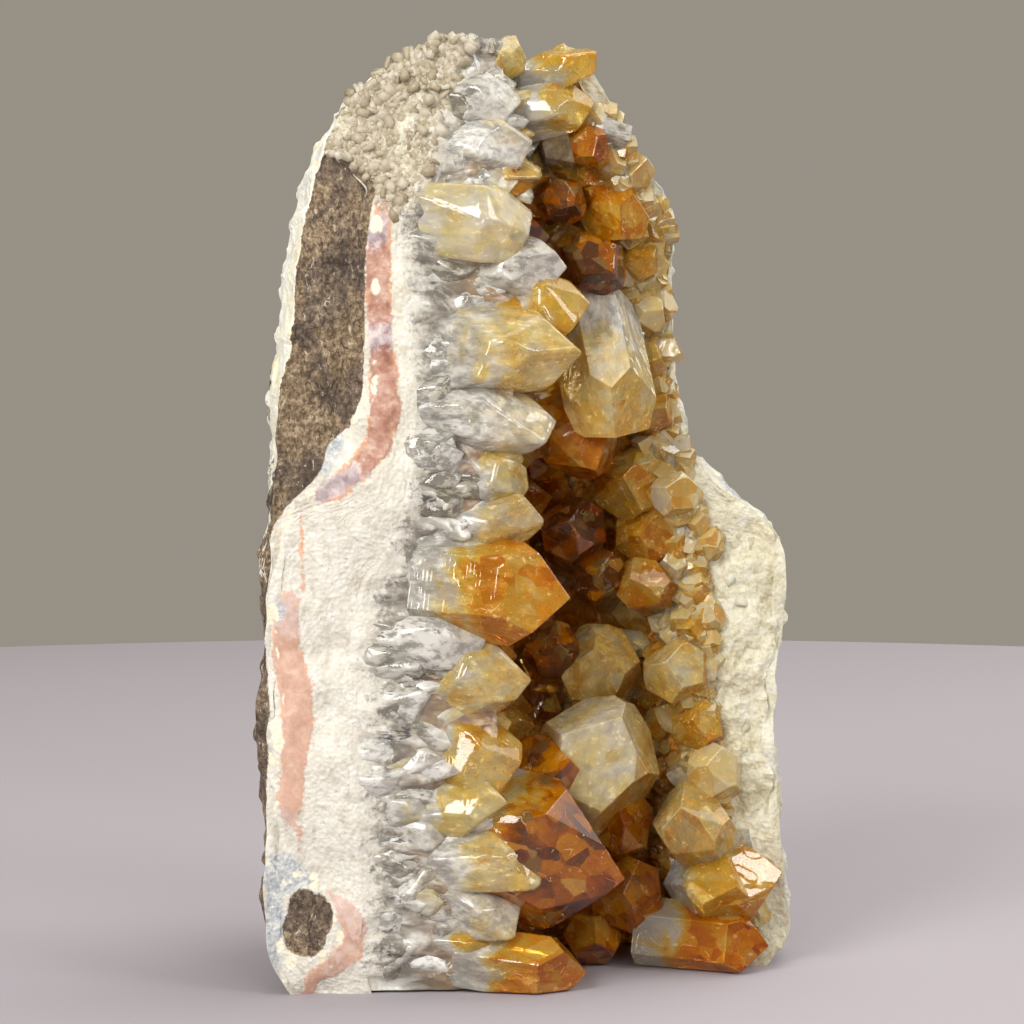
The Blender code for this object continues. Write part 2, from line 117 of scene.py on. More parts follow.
# The larger points: tip, root, radius and look.
Point = namedtuple("Point", "tip root radius look")
POINT_ROWS = [
    # Left end, from the top down
    ((13.3, -20, 140.5), (3.0, -17, 134.0), 3.1, "gold"),
    ((5.0, -20, 142.5), (-4.0, -16, 135.0), 2.6, "honey"),
    ((-4.5, -21, 141.5), (-8.0, -17, 133.0), 3.0, "grey"),
    ((13.4, -20, 133.2), (1.5, -17, 130.0), 3.8, "gold"),
    ((2.0, -25, 133.0), (-10.0, -19, 131.0), 3.8, "grey"),
    ((3.5, -26, 125.5), (-9.0, -20, 124.5), 4.2, "clear"),
    ((4.3, -30, 113.0), (-14.0, -24, 115.0), 5.3, "cream"),
    ((2.5, -27, 118.5), (-9.0, -20, 119.5), 3.6, "clear"),
    ((9.0, -28, 107.8), (-8.0, -23, 107.5), 4.2, "grey"),
    ((11.9, -28, 101.8), (-2.0, -21, 102.8), 4.4, "gold"),
    ((10.6, -32, 94.8), (-13.0, -25, 95.8), 6.4, "honey"),
    ((7.4, -31, 84.4), (-12.0, -25, 85.0), 5.4, "clear"),
    ((4.3, -31, 75.4), (-8.0, -26, 77.0), 3.4, "honey"),
    ((5.9, -31, 70.0), (-12.0, -25, 69.8), 4.4, "honey"),
    ((8.6, -33, 59.3), (-13.0, -25, 60.6), 6.8, "orange"),
    ((-3.0, -32, 52.5), (-18.0, -26, 54.5), 4.8, "grey"),
    ((3.4, -31, 46.6), (-14.0, -25, 46.8), 5.8, "honey"),
    ((2.6, -31, 36.2), (-14.0, -25, 35.0), 5.6, "gold"),
    ((0.2, -32, 28.2), (-15.0, -26, 27.6), 4.6, "honey"),
    ((7.0, -34, 21.4), (-11.0, -27, 19.4), 4.4, "honey"),
    ((2.8, -32, 12.8), (-12.0, -26, 12.6), 4.2, "clear"),
    ((11.2, -27, 2.8), (-8.0, -24, 5.0), 4.8, "orange"),
    ((16.8, -29, 17.2), (-4.0, -19, 21.0), 10.2, "russet"),
    # Behind them, in the hollow
    ((15.3, -25, 82.4), (12.0, -6, 101.0), 6.4, "mauve"),
    ((12.6, -21, 77.4), (7.0, -5, 88.0), 5.4, "amber"),
    ((16.5, -15, 112.0), (14.0, -1, 123.0), 4.4, "orange"),
    ((15.2, -19, 107.0), (9.5, -5, 110.5), 4.0, "brown"),
    ((12.0, -21, 124.2), (11.0, -9, 129.0), 2.6, "amber"),
    ((9.5, -20, 117.0), (5.0, -9, 118.5), 3.4, "brown"),
    ((8.6, -14, 69.5), (10.6, 4, 63.0), 4.6, "brown"),
    ((17.0, -11, 76.0), (21.0, 6, 72.0), 5.2, "gold"),
    ((19.5, -11, 67.0), (23.0, 4, 66.0), 4.6, "orange"),
    ((23.5, -12, 74.4), (27.0, 0, 71.0), 3.2, "yellow"),
    ((18.0, -12, 60.5), (24.0, 2, 57.0), 4.0, "gold"),
    ((13.5, -12, 62.0), (14.0, 4, 58.0), 3.8, "brown"),
    ((7.0, -15, 51.0), (5.0, 2, 46.0), 4.2, "brown"),
    ((12.6, -14, 50.0), (14.0, 4, 42.0), 5.6, "mauve"),
    ((23.4, -15, 48.0), (28.0, -1, 43.0), 4.6, "mauve"),
    ((16.4, -23, 40.6), (9.5, -3, 25.0), 8.6, "cream"),
    ((8.8, -23, 34.0), (0.0, -9, 26.0), 5.8, "russet"),
    ((27.5, -13, 39.0), (31.0, 0, 35.0), 3.6, "gold"),
    ((25.4, -20, 26.5), (30.5, -5, 18.0), 5.4, "mauve"),
    ((29.5, -17, 32.5), (32.5, -4, 28.0), 3.8, "yellow"),
    ((41.6, -13, 15.4), (30.0, -7, 11.5), 5.4, "gold"),
    ((34.0, -18, 14.0), (29.0, -4, 12.0), 5.2, "gold"),
    ((39.4, -14, 4.2), (20.0, -7, 5.0), 4.9, "amber"),
    ((17.0, -15, 12.5), (19.0, 4, 8.0), 5.4, "amber"),
    ((16.5, -13, 25.0), (17.0, 4, 18.0), 5.0, "amber"),
    ((13.0, -14, 4.5), (12.0, 2, 4.0), 4.0, "amber"),
    # The right end's rim, from the top down
    ((20.6, -11, 124.5), (16.5, -5, 120.0), 2.8, "yellow"),
    ((22.5, -8, 118.0), (17.5, -2, 116.0), 2.5, "yellow"),
    ((21.6, -9, 109.5), (17.5, -1, 108.0), 2.8, "gold"),
    ((23.2, -8, 101.5), (18.0, 0, 100.0), 2.7, "yellow"),
    ((22.8, -8, 94.0), (18.5, 0, 92.5), 2.9, "gold"),
    ((23.6, -9, 86.5), (19.5, 0, 84.0), 2.8, "gold"),
]
LARGE_POINTS = [Point(*row) for row in POINT_ROWS]
LEFT_END_POINTS = 23

# The smaller points that cover the rest of the bed, as in the CAD source.
ROW_STEP = 8.4
POINT_STEP = 7.8
FIRST_ROW, LAST_ROW = 5, 136
SPREAD = 0.24
UPWARD = 0.12
FILL_RADIUS = (2.7, 4.4)
FILL_HEIGHT = (1.0, 1.9)
ROOT_DEPTH = 4.5
RIGHT_END_SIZE = 0.72
FLOOR_GAP = 0.3
# Over this height, the roughness of a surface comes to move its points up and down too
BASE_FADE = 2.5


# The fragment's shape


def clamp(x, low=0.0, high=1.0):
    return min(high, max(low, x))


def between(low, high, x):
    """0 below low, 1 above high and an even S between them."""
    t = clamp((x - low) / (high - low))
    return t * t * (3 - 2 * t)


def through(values, positions, x):
    """The value at x of a smooth curve through values, each a number or a Vector, at rising positions."""
    last = len(positions) - 1
    i = min(last - 1, max(0, int(np.searchsorted(positions, x)) - 1))
    t = (x - positions[i]) / (positions[i + 1] - positions[i])
    low, high = values[i], values[i + 1]
    span = positions[i + 1] - positions[i]
    before, after = max(0, i - 1), min(last, i + 2)
    slope_low = (high - values[before]) / (positions[i + 1] - positions[before]) * span
    slope_high = (values[after] - low) / (positions[after] - positions[i]) * span
    return (
        low * (2 * t**3 - 3 * t**2 + 1)
        + slope_low * (t**3 - 2 * t**2 + t)
        + high * (3 * t**2 - 2 * t**3)
        + slope_high * (t**3 - t**2)
    )


def bay(left, right, front, back, arm, along_right, bulge=0.0):
    """A line in plan round three sides of the hollow."""
    width, depth, reach = right - left, back - front, back - arm
    line = [Vector((left + a * width, front + b * depth)) for a, b in ALONG_LEFT]
    line += [Vector((left + a * width, back - b * reach)) for a, b in along_right]
    line[1].x -= bulge
    return line


PLAN_HEIGHTS = [plan.z for plan in PLANS]
PLAN_COLUMNS = list(zip(*PLANS))
LINE_POSITIONS = [i / 7 for i in range(8)]
known_plans = {}
known_spots = {}


def plan_at(z):
    """The plan at a height, with its outside, inner and bed lines."""
    if z not in known_plans:
        p = Plan(*(float(through(column, PLAN_HEIGHTS, z)) for column in PLAN_COLUMNS))
        bed_arm = min(p.arm, p.bed_back - BED_LIP)
        known_plans[z] = p, (
            bay(p.left, p.right, p.front, p.back, p.arm, SQUARE_RIGHT, p.bulge),
            bay(p.left + p.band, p.right - p.lip, p.front, p.hollow, p.arm, SQUARE_RIGHT),
            bay(p.bed_left, p.bed_right, p.front + BED_STEP, p.bed_back, bed_arm, SLOPING_RIGHT),
        )
    return known_plans[z]


def swell(p):
    """Moves a point by the stone's own unevenness."""
    moved = p.copy()
    for amount, distance in SWELLS:
        spot = p / distance
        moved += Vector([noise.noise(spot + Vector(offset)) for offset in SWELL_OFFSETS]) * amount
    held = between(0, FLAT_BELOW, p.z)
    moved.z = p.z + (moved.z - p.z) * held
    return moved


def place(u, s, z):
    """A point of the fragment in the drawing. u runs from the left end round the hollow to the right end, s
    from the outside (0) to the wall's inner face (1) and the bed's face (2), and z is a height."""
    if (u, z) not in known_spots:
        p, lines = plan_at(min(z, HIGHEST))
        inside = clamp(u)
        known_spots[u, z] = p.front, *(through(line, LINE_POSITIONS, inside) for line in lines)
    front, outside, inner, bed = known_spots[u, z]
    xy = outside.lerp(inner, s) if s <= 1 else inner.lerp(bed, s - 1)
    lean = TOP_SLOPE * between(TOP_START, HIGHEST, z) * (xy.y - front)
    return swell(Vector((xy.x, xy.y, z - lean)))


def rind_share(u, z):
    """The share of the wall's thickness that is rind."""
    patch = between(PATCH_LOW - PATCH_FADE, PATCH_LOW, z) - between(PATCH_HIGH, PATCH_HIGH + PATCH_FADE, z)
    left = RIND_THIN + (RIND_PATCH - RIND_THIN) * patch
    back = left + (RIND_BACK - left) * between(0.0, 0.25, u)
    return back + (RIND_RIGHT - back) * between(0.7, 1.0, u)


# The broken left end's minerals, drawn as lines and spots in x and z

Stroke = namedtuple("Stroke", "x z half cool")
AGATE_ROWS = [
    [
        (-17.6, 122.5, 0.9, 0.5), (-18.4, 118.5, 1.3, 0.2), (-19.5, 113.0, 1.7, 0.75),
        (-19.7, 107.0, 1.9, 0.1), (-19.4, 101.0, 1.9, 0.25), (-19.3, 97.0, 1.6, 0.7),
        (-18.8, 92.0, 2.1, 0.05), (-18.6, 86.0, 2.2, 0.0), (-19.6, 81.5, 2.0, 0.1),
        (-22.2, 78.4, 1.7, 0.4), (-25.0, 76.2, 1.6, 0.95), (-28.0, 74.6, 1.0, 1.0),
    ],
    [
        (-30.7, 73.0, 0.15, 0.2), (-30.9, 66.0, 0.22, 0.1), (-30.6, 60.0, 0.2, 0.1),
    ],
    [
        (-32.8, 58.5, 1.6, 0.85), (-33.3, 54.0, 2.0, 0.5), (-32.9, 50.0, 2.2, 0.15),
        (-31.8, 46.0, 2.4, 0.0), (-31.4, 41.0, 2.3, 0.05), (-31.9, 37.0, 1.9, 0.25),
        (-32.3, 33.0, 1.8, 0.35), (-32.6, 29.3, 1.9, 0.1), (-32.8, 26.8, 1.1, 0.95),
    ],
    [
        (-31.3, 25.5, 0.25, 0.0), (-31.7, 19.5, 0.15, 0.0),
    ],
    [
        (-26.8, 16.2, 0.5, 0.7), (-24.6, 13.5, 1.3, 0.6), (-23.2, 10.5, 1.8, 0.45),
        (-24.0, 7.0, 1.8, 0.5), (-26.8, 4.4, 1.5, 0.5), (-29.4, 2.8, 1.0, 0.2), (-30.4, 0.0, 0.9, 0.1),
    ],
]
AGATE = [[Stroke(*row) for row in line] for line in AGATE_ROWS]
# The rind's inner edge on the end, as z and x
RIND_EDGE = [
    (0, -40), (14, -40), (20, -38), (26, -36.6), (36, -35.8), (43, -35.6), (52, -36.3), (60, -36.4),
    (66, -35.8), (70, -34.9), (73, -33), (76, -29.5), (78, -27.8), (81.5, -27), (84, -23.6), (88, -22),
    (95, -21.7), (110, -21.5), (117, -20.6), (120.5, -19.4), (123, -20.5), (126, -27), (129, -36), (142, -40),
]
# The edge between the white and the clearer grey quartz, as z and x
WHITE_EDGE = [
    (0, -21), (14, -21.5), (29, -21.5), (44, -21.5), (58, -21), (66, -17.4), (73, -15.4), (80, -14.2),
    (88, -14.2), (102, -15), (117, -16.4), (124, -12), (132, -8), (142, -7),
]
# Blue-grey chalcedony: x, z and the two half sizes
BLUE_SPOTS = [
    (-34.0, 18.6, 3.6, 3.2), (-35.2, 11.0, 1.6, 8.0), (-30.2, 18.2, 1.8, 1.2), (-26.2, 82.0, 1.5, 2.4),
    (-27.6, 78.6, 1.6, 1.2), (-34.2, 57.6, 1.2, 1.6), (-27.0, 124.5, 2.6, 1.2),
]
LOW_BASALT = (-30.2, 11.0, 3.4, 5.2)


def along_table(table, z):
    """The value at z of a table of z and value, in straight stretches."""
    return float(np.interp(z, [row[0] for row in table], [row[1] for row in table]))


def near_strokes(x, z):
    """How far inside the agate a spot is, in mm, below 0 outside it, and how cool the agate is there."""
    best, cool = -9.0, 0.3
    for line in AGATE:
        for a, b in zip(line, line[1:]):
            dx, dz = b.x - a.x, b.z - a.z
            t = clamp(((x - a.x) * dx + (z - a.z) * dz) / (dx * dx + dz * dz))
            inside = a.half + (b.half - a.half) * t - math.hypot(x - a.x - dx * t, z - a.z - dz * t)
            if inside > best:
                best, cool = inside, a.cool + (b.cool - a.cool) * t
    return best, cool


def inside_spot(x, z, spot):
    """How far inside an oval spot this is, in mm, below 0 outside it."""
    reach = math.hypot((x - spot[0]) / spot[2], (z - spot[1]) / spot[3])
    return (1 - reach) * min(spot[2], spot[3])


def minerals(x, z):
    """How far inside the basalt, the agate and the blue-grey a spot of the left end is, how cool the agate
    is, and how far past the white quartz the spot is, in mm."""
    rind_edge = along_table(RIND_EDGE, z)
    right, up = x - LOW_BASALT[0], z - LOW_BASALT[1]
    right, up = right - 0.22 * up + 0.5 * noise.noise(Vector((x, z, 3)) / 2.2), up + 0.22 * right
    low = (1 - (abs(right / LOW_BASALT[2]) ** 3 + abs(up / LOW_BASALT[3]) ** 3) ** (1 / 3)) * LOW_BASALT[2]
    agate, cool = near_strokes(x, z)
    blue = max(inside_spot(x, z, spot) for spot in BLUE_SPOTS)
    return max(rind_edge - x, low), agate, cool, blue, x - along_table(WHITE_EDGE, z)


# Meshes


def as_object(name, verts, faces, attributes):
    """A mesh object from points in the drawing, with named float or vector attributes on its corners."""
    data = bpy.data.meshes.new(name)
    points = (np.asarray(verts, float) - np.array(MIDDLE)) * MM
    data.from_pydata(points.tolist(), [], faces)
    for label, values in attributes.items():
        values = np.asarray(values, np.float32)
        kind = "FLOAT" if values.ndim == 1 else "FLOAT_VECTOR"
        layer = data.attributes.new(label, kind, "POINT")
        layer.data.foreach_set("value" if values.ndim == 1 else "vector", values.ravel())
    data.update()
    made = bpy.data.objects.new(name, data)
    bpy.context.scene.collection.objects.link(made)
    return made


def even(count, crowd=0.0):
    """count + 1 values from 0 to 1, closer together at both ends where crowd is above 0."""
    values = [i / count for i in range(count + 1)]
    return [t - crowd * math.sin(math.tau * t) / math.tau for t in values]


# A point of a lattice: its u, its share of the way through the lattice, its s and z, and its three numbers
Spot = namedtuple("Spot", "u share s z i j k")


def lattice(counts, s_of, crowd=0.0, low=LOWEST):
    """The outside of a lattice of cells, counts of them round the hollow, through and up from low. s_of gives
    its outer and inner s at u and z. Returns its points, its faces and each point's Spot."""
    us, shares = even(counts[0], crowd), even(counts[1])
    zs = [low + (HIGHEST - low) * t for t in even(counts[2])]
    numbers, points, spots = {}, [], []

    def corner(i, j, k):
        if (i, j, k) not in numbers:
            u, z = us[i], zs[k]
            outer, inner = s_of(u, z)
            s = outer + (inner - outer) * shares[j]
            numbers[i, j, k] = len(points)
            points.append(place(u, s, z))
            spots.append(Spot(u, shares[j], s, z, i, j, k))
        return numbers[i, j, k]

    faces = []
    for fixed in range(3):
        a, b = (axis for axis in range(3) if axis != fixed)
        for at in (0, counts[fixed]):
            outward = (at > 0) == (fixed != 1)
            for m, n in itertools.product(range(counts[a]), range(counts[b])):
                quad = []
                for da, db in ((0, 0), (1, 0), (1, 1), (0, 1)):
                    index = [at, at, at]
                    index[a], index[b] = m + da, n + db
                    quad.append(corner(*index))
                faces.append(tuple(quad if outward else quad[::-1]))
    return points, faces, spots


def push(points, faces, spots, counts, amount):
    """Moves each point of a lattice along its normal by amount(n, p, spot, on_end, on_top), in mm."""
    data = bpy.data.meshes.new("rough")
    data.from_pydata([tuple(p) for p in points], [], faces)
    data.update()
    normals = [v.vector.copy() for v in data.vertex_normals]
    bpy.data.meshes.remove(data)
    for n, (p, spot) in enumerate(zip(points, spots)):
        by = amount(n, p, spot, spot.i in (0, counts[0]), spot.k == counts[2])
        moved = p + normals[n] * by
        moved.z = p.z + (moved.z - p.z) * between(0, BASE_FADE, spot.z)
        points[n] = moved


# Crystals


def corners_inside(normals, offsets):
    """The corners of the convex solid of points x with normal . x <= offset for every plane."""
    picks = np.array(list(itertools.combinations(range(len(normals)), 3)))
    sets, sides = normals[picks], offsets[picks]
    solvable = np.abs(np.linalg.det(sets)) > 1e-6
    points = np.linalg.solve(sets[solvable], sides[solvable][..., None])[..., 0]
    inside = (points @ normals.T <= offsets + 1e-7).all(axis=1)
    return np.unique(np.round(points[inside], 5), axis=0)


def quartz_planes(tip, root, radius, chance):
    """The planes of one crystal, as in the CAD source, and its own axes."""
    tip, root = Vector(tip), Vector(root)
    axis = (tip - root).normalized()
    across = axis.orthogonal().normalized()
    other = axis.cross(across)
    turn = chance.uniform(0, math.tau / 6)
    normals, offsets = [-axis], [-axis.dot(root)]
    for k in range(6):
        angle = turn + k * math.tau / 6
        out = across * math.cos(angle) + other * math.sin(angle)
        normals.append(out)
        uneven = chance.uniform(1 - SIDE_VARIATION, 1 + SIDE_VARIATION)
        offsets.append(out.dot(tip) + radius * uneven)
        lean = out * math.sin(TIP_LEAN) + axis * math.cos(TIP_LEAN)
        step = radius * chance.uniform(*MINOR_FACE_STEP) if k % 2 else 0.0
        normals.append(lean)
        offsets.append(lean.dot(tip) + step)
    return normals, offsets, (across, other, axis)


def above_floor(normals, offsets):
    """The planes, with one just above the floor where the solid would reach below it."""
    corners = corners_inside(np.array(normals, float), np.array(offsets, float))
    if len(corners) and corners[:, 2].min() < FLOOR_GAP:
        return [*normals, Vector((0, 0, -1))], [*offsets, -FLOOR_GAP]
    return normals, offsets


def polygons(normals, offsets):
    """The corners and faces of the convex solid inside the planes."""
    normals, offsets = np.array(normals, float), np.array(offsets, float)
    corners = corners_inside(normals, offsets)
    faces = []
    for normal, offset in zip(normals, offsets):
        on = np.flatnonzero(np.abs(corners @ normal - offset) < 3e-4)
        if len(on) < 3:
            continue
        centre = corners[on].mean(axis=0)
        first = corners[on[0]] - centre
        first /= np.linalg.norm(first)
        second = np.cross(normal, first)
        away = corners[on] - centre
        order = np.argsort(np.arctan2(away @ second, away @ first))
        faces.append([int(n) for n in on[order]])
    return corners, faces


def unpacked(mesh):
    """The corners and faces of a bmesh, which is freed."""
    mesh.verts.index_update()
    corners = np.array([v.co[:] for v in mesh.verts])
    faces = [[v.index for v in face.verts] for face in mesh.faces]
    mesh.free()
    return corners, faces


def bevelled(corners, faces, width):
    """The solid with its edges worn by width, in mm."""
    mesh = bmesh.new()
    verts = [mesh.verts.new(c) for c in corners]
    for face in faces:
        try:
            mesh.faces.new([verts[n] for n in face])
        except ValueError:
            continue
    edges = mesh.edges[:] + mesh.verts[:]
    bmesh.ops.bevel(mesh, geom=edges, offset=width, segments=1, affect="EDGES", clamp_overlap=True)
    return unpacked(mesh)


known_spheres = {}


def sphere(steps):
    """The corners and faces of a ball of triangles."""
    if steps not in known_spheres:
        mesh = bmesh.new()
        bmesh.ops.create_icosphere(mesh, subdivisions=steps, radius=1.0)
        known_spheres[steps] = unpacked(mesh)
    return known_spheres[steps]


# How worn crystals are made: the steps of their ball, how sharp their edges are at the root and at the tip,
# and how rough they are, in mm
WORN_LARGE = (5, (26, 70), 0.35)
WORN_SMALL = (4, (20, 44), 0.22)


def worn(normals, offsets, axes, tip, root, shift, steps, sharp, rough):
    """The solid inside the planes with its edges rounded off and its faces uneven, as broken quartz is."""
    balls, faces = sphere(steps)
    tip, root = np.array(tip), np.array(root)
    basis = np.array([list(a) for a in axes])
    normals, offsets = np.array(normals, float), np.array(offsets, float)
    centre = root + (tip - root) * 0.5
    room = offsets - normals @ centre
    half = np.linalg.norm(tip - root) / 2
    side = float(np.median(room[1:]))
    ways = balls * np.array([1.0, 1.0, max(1.0, half / side)])
    ways /= np.linalg.norm(ways, axis=1)[:, None]
    power = sharp[0] + (sharp[1] - sharp[0]) * np.clip(ways[:, 2] * 0.5 + 0.5, 0, 1)
    ways = ways @ basis
    facing = np.clip(ways @ normals.T, 1e-4, None) / np.clip(room, 0.15, None)
    reach = (facing ** power[:, None]).sum(axis=1) ** (-1 / power)
    points = centre + ways * reach[:, None]
    for n, (way, point) in enumerate(zip(ways, points)):
        spot = Vector(point) + shift
        tipward = between(-0.2, 0.9, float((point - centre) @ basis[2]) / half)
        along = Vector((spot.x * 0.45, spot.y, spot.z))
        by = noise.noise(along / 3.6) * 0.6 + noise.noise(along / 1.4) * 0.08
        points[n] = point + way * by * rough * (1 - 0.7 * tipward)
    points[:, 2] = np.maximum(points[:, 2], FLOOR_GAP)
    return points, faces


# Painted shade: faces turned towards this side, the key light's side, are painted paler, and the ones turned
# away are painted darker
PAINTED_LIT_SIDE = Vector((-0.55, -0.45, 0.7)).normalized()


class Crystals:
    """Gathers crystals into one mesh. Each corner knows its place along its crystal and its look."""

    def __init__(self):
        self.verts, self.faces, self.smooth, self.facet_tone_and_shade = [], [], [], []
        self.grain, self.look, self.along = [], [], []

    def add(self, tip, root, look, planes, chance, wear=0.0, rounded=None):
        """Adds a crystal with flat faces and edges worn by wear, or one rounded as WORN_LARGE says."""
        shift = Vector([chance.uniform(-50, 50) for _ in range(3)])
        seed = chance.random()
        normals, offsets, axes = planes
        normals, offsets = above_floor(normals, offsets)
        if rounded:
            corners, faces = worn(normals, offsets, axes, tip, root, shift, *rounded)
        else:
            corners, faces = polygons(normals, offsets)
            if len(corners) < 4:
                return
            if wear:
                corners, faces = bevelled(corners, faces, wear)
        first = len(self.verts)
        local = (corners - np.array(root)) @ np.array([list(a) for a in axes]).T
        length = (Vector(tip) - Vector(root)).length
        self.verts.extend(corners.tolist())
        self.faces.extend([n + first for n in face] for face in faces)
        self.smooth.extend([bool(rounded)] * len(faces))
        for face in faces:
            own = chance.random()
            if rounded:
                self.facet_tone_and_shade.append(0.1)
                continue
            # Painted shade: each face's tone is partly its own at random and partly painted darker the
            # further it turns from the key light's side
            a, b, c = (Vector(corners[n]) for n in face[:3])
            away = 0.5 - 0.5 * (b - a).cross(c - a).normalized().dot(PAINTED_LIT_SIDE)
            self.facet_tone_and_shade.append(0.45 * own + 0.55 * away)
        self.grain.extend((local + np.array(shift)).tolist())
        self.look.extend([[look.hue, look.milk, look.smoke]] * len(corners))
        self.along.extend([[z / length, look.start, seed] for z in local[:, 2]])

    def made(self, name):
        layers = {"grain": self.grain, "look": self.look, "along": self.along}
        made = as_object(name, self.verts, self.faces, layers)
        made.data.polygons.foreach_set("use_smooth", self.smooth)
        made.data.attributes.new("facet_tone_and_shade", "FLOAT", "FACE").data.foreach_set("value", self.facet_tone_and_shade)
        return made


def hidden(spot):
    """Whether a spot is inside one of the large points, or nearly."""
    for point in LARGE_POINTS:
        tip, root = Vector(point.tip), Vector(point.root)
        along = clamp((spot - root).dot(tip - root) / (tip - root).length_squared)
        if (root.lerp(tip, along) - spot).length < point.radius:
            return True
    return False


def out_of_bed(u, z):
    """The level direction out of the bed's face."""
    along = place(min(1, u + 0.02), 2, z) - place(max(0, u - 0.02), 2, z)
    return Vector((along.y, -along.x, 0)).normalized()


def fill_points(chance):
    """The smaller points, in staggered rows over the bed's face, with looks that suit their place."""
    looks = random.Random(SEED + 1)
    found = []
    z = FIRST_ROW
    row = 0
    while z <= LAST_ROW:
        line = [place(i / 60, 2, z) for i in range(61)]
        reach = sum((b - a).length for a, b in zip(line, line[1:]))
        count = max(2, int(reach / POINT_STEP))
        for i in range(count):
            u = (i + 0.5 * (row % 2) + chance.uniform(-SPREAD, SPREAD) + 0.25) / count
            u = clamp(u, 0.02, 0.99)
            height = z + chance.uniform(-SPREAD, SPREAD) * ROW_STEP
            foot = place(u, 2, height)
            tilt = Vector([chance.uniform(-SPREAD, SPREAD) for _ in range(3)])
            out = (out_of_bed(u, height) + tilt + Vector((0, 0, UPWARD))).normalized()
            size = 1 + (RIGHT_END_SIZE - 1) * between(0.4, 0.9, u)
            radius = chance.uniform(*FILL_RADIUS) * size
            tip = foot + out * radius * chance.uniform(*FILL_HEIGHT)
            if not hidden(tip):
                found.append(Point(tip, foot - out * ROOT_DEPTH, radius, pick_look(looks, u, height)))
        z += ROW_STEP
        row += 1
    return found


def pick_look(chance, u, z):
    """A look for a small point at this place on the bed."""
    if z > 128:
        return chance.choice(["grey", "clear", "honey", "gold"])
    if u > 0.86 and z > 72:
        return chance.choice(["yellow", "yellow", "cream", "honey"])
    if u > 0.86:
        return chance.choice(["yellow", "cream", "yellow", "clear", "honey"])
    if u > 0.5:
        return chance.choice(["gold", "gold", "gold", "cream", "mauve", "orange", "yellow"])
    return chance.choice(["amber", "amber", "brown", "orange", "gold", "mauve"])


# Materials


class Nodes:
    """Short ways to add shader nodes to a material."""

    def __init__(self, name):
        self.material = bpy.data.materials.new(name)
        self.material.use_nodes = True
        self.tree = self.material.node_tree
        self.shader = self.tree.nodes["Principled BSDF"]

    def add(self, kind, inputs=None, **settings):
        made = self.tree.nodes.new(kind)
        for label, value in settings.items():
            setattr(made, label, value)
        for label, value in (inputs or {}).items():
            self.feed(made.inputs[label], value)
        return made

    def feed(self, socket, value):
        if isinstance(value, bpy.types.NodeSocket):
            self.tree.links.new(value, socket)
        elif value is not None:
            socket.default_value = value

    def attribute(self, name, output="Fac"):
        return self.add("ShaderNodeAttribute", attribute_name=name).outputs[output]

    def parts(self, vector):
        return self.add("ShaderNodeSeparateXYZ", {"Vector": vector}).outputs

    def three(self, name):
        """The three numbers of a vector attribute."""
        return self.parts(self.attribute(name, "Vector"))

    def math(self, operation, *values, clamp=False):
        inputs = dict(enumerate(values))
        return self.add("ShaderNodeMath", inputs, operation=operation, use_clamp=clamp).outputs[0]

    def times(self, a, b, clamp=False):
        return self.math("MULTIPLY", a, b, clamp=clamp)

    def muladd(self, a, b, c, clamp=False):
        """a times b, plus c."""
        return self.math("MULTIPLY_ADD", a, b, c, clamp=clamp)

    def minus(self, a, b):
        return self.math("SUBTRACT", a, b)

    def blend(self, a, b, share):
        """share of a, and the rest of b."""
        return self.muladd(a, share, self.times(b, 1 - share))

    def scaled(self, vector, scale):
        return self.add("ShaderNodeVectorMath", {0: vector, 1: scale}, operation="MULTIPLY").outputs[0]

    def remap(self, value, low, high, to_low=0.0, to_high=1.0):
        inputs = {"Value": value, "From Min": low, "From Max": high, "To Min": to_low, "To Max": to_high}
        return self.add("ShaderNodeMapRange", inputs, interpolation_type="SMOOTHSTEP").outputs["Result"]

    def noise(self, vector, scale, detail, rough, distortion=0.0):
        inputs = {"Scale": scale, "Detail": detail, "Roughness": rough, "Distortion": distortion}
        return self.add("ShaderNodeTexNoise", {"Vector": vector, **inputs}).outputs["Fac"]

    def cells(self, vector, scale, output="Distance"):
        return self.add("ShaderNodeTexVoronoi", {"Vector": vector, "Scale": scale}).outputs[output]

    def mix(self, share, a, b, blend="MIX"):
        made = self.add("ShaderNodeMix", data_type="RGBA", blend_type=blend, clamp_factor=True)
        self.feed(made.inputs[0], share)
        self.feed(made.inputs[6], (*a, 1) if isinstance(a, tuple) else a)
        self.feed(made.inputs[7], (*b, 1) if isinstance(b, tuple) else b)
        return made.outputs[2]

    def ramp(self, value, stops):
        """A ramp of colours. Each stop is a position and a colour's three screen levels."""
        made = self.add("ShaderNodeValToRGB", {"Fac": value})
        elements = made.color_ramp.elements
        while len(elements) < len(stops):
            elements.new(0.5)
        for element, (position, *levels) in zip(elements, stops):
            element.position = position
            element.color = (*srgb(*levels), 1)
        return made.outputs["Color"]

    def bump(self, height, distance, strength):
        inputs = {"Height": height, "Distance": distance, "Strength": strength}
        return self.add("ShaderNodeBump", inputs).outputs["Normal"]

    def finish(self, **inputs):
        for label, value in inputs.items():
            self.feed(self.shader.inputs[label.replace("_", " ")], value)
        return self.material


def srgb(*levels):
    """A colour given by its 0 to 255 screen levels."""
    return tuple(((c / 255) / 12.92 if c <= 10 else ((c / 255 + 0.055) / 1.055) ** 2.4) for c in levels)


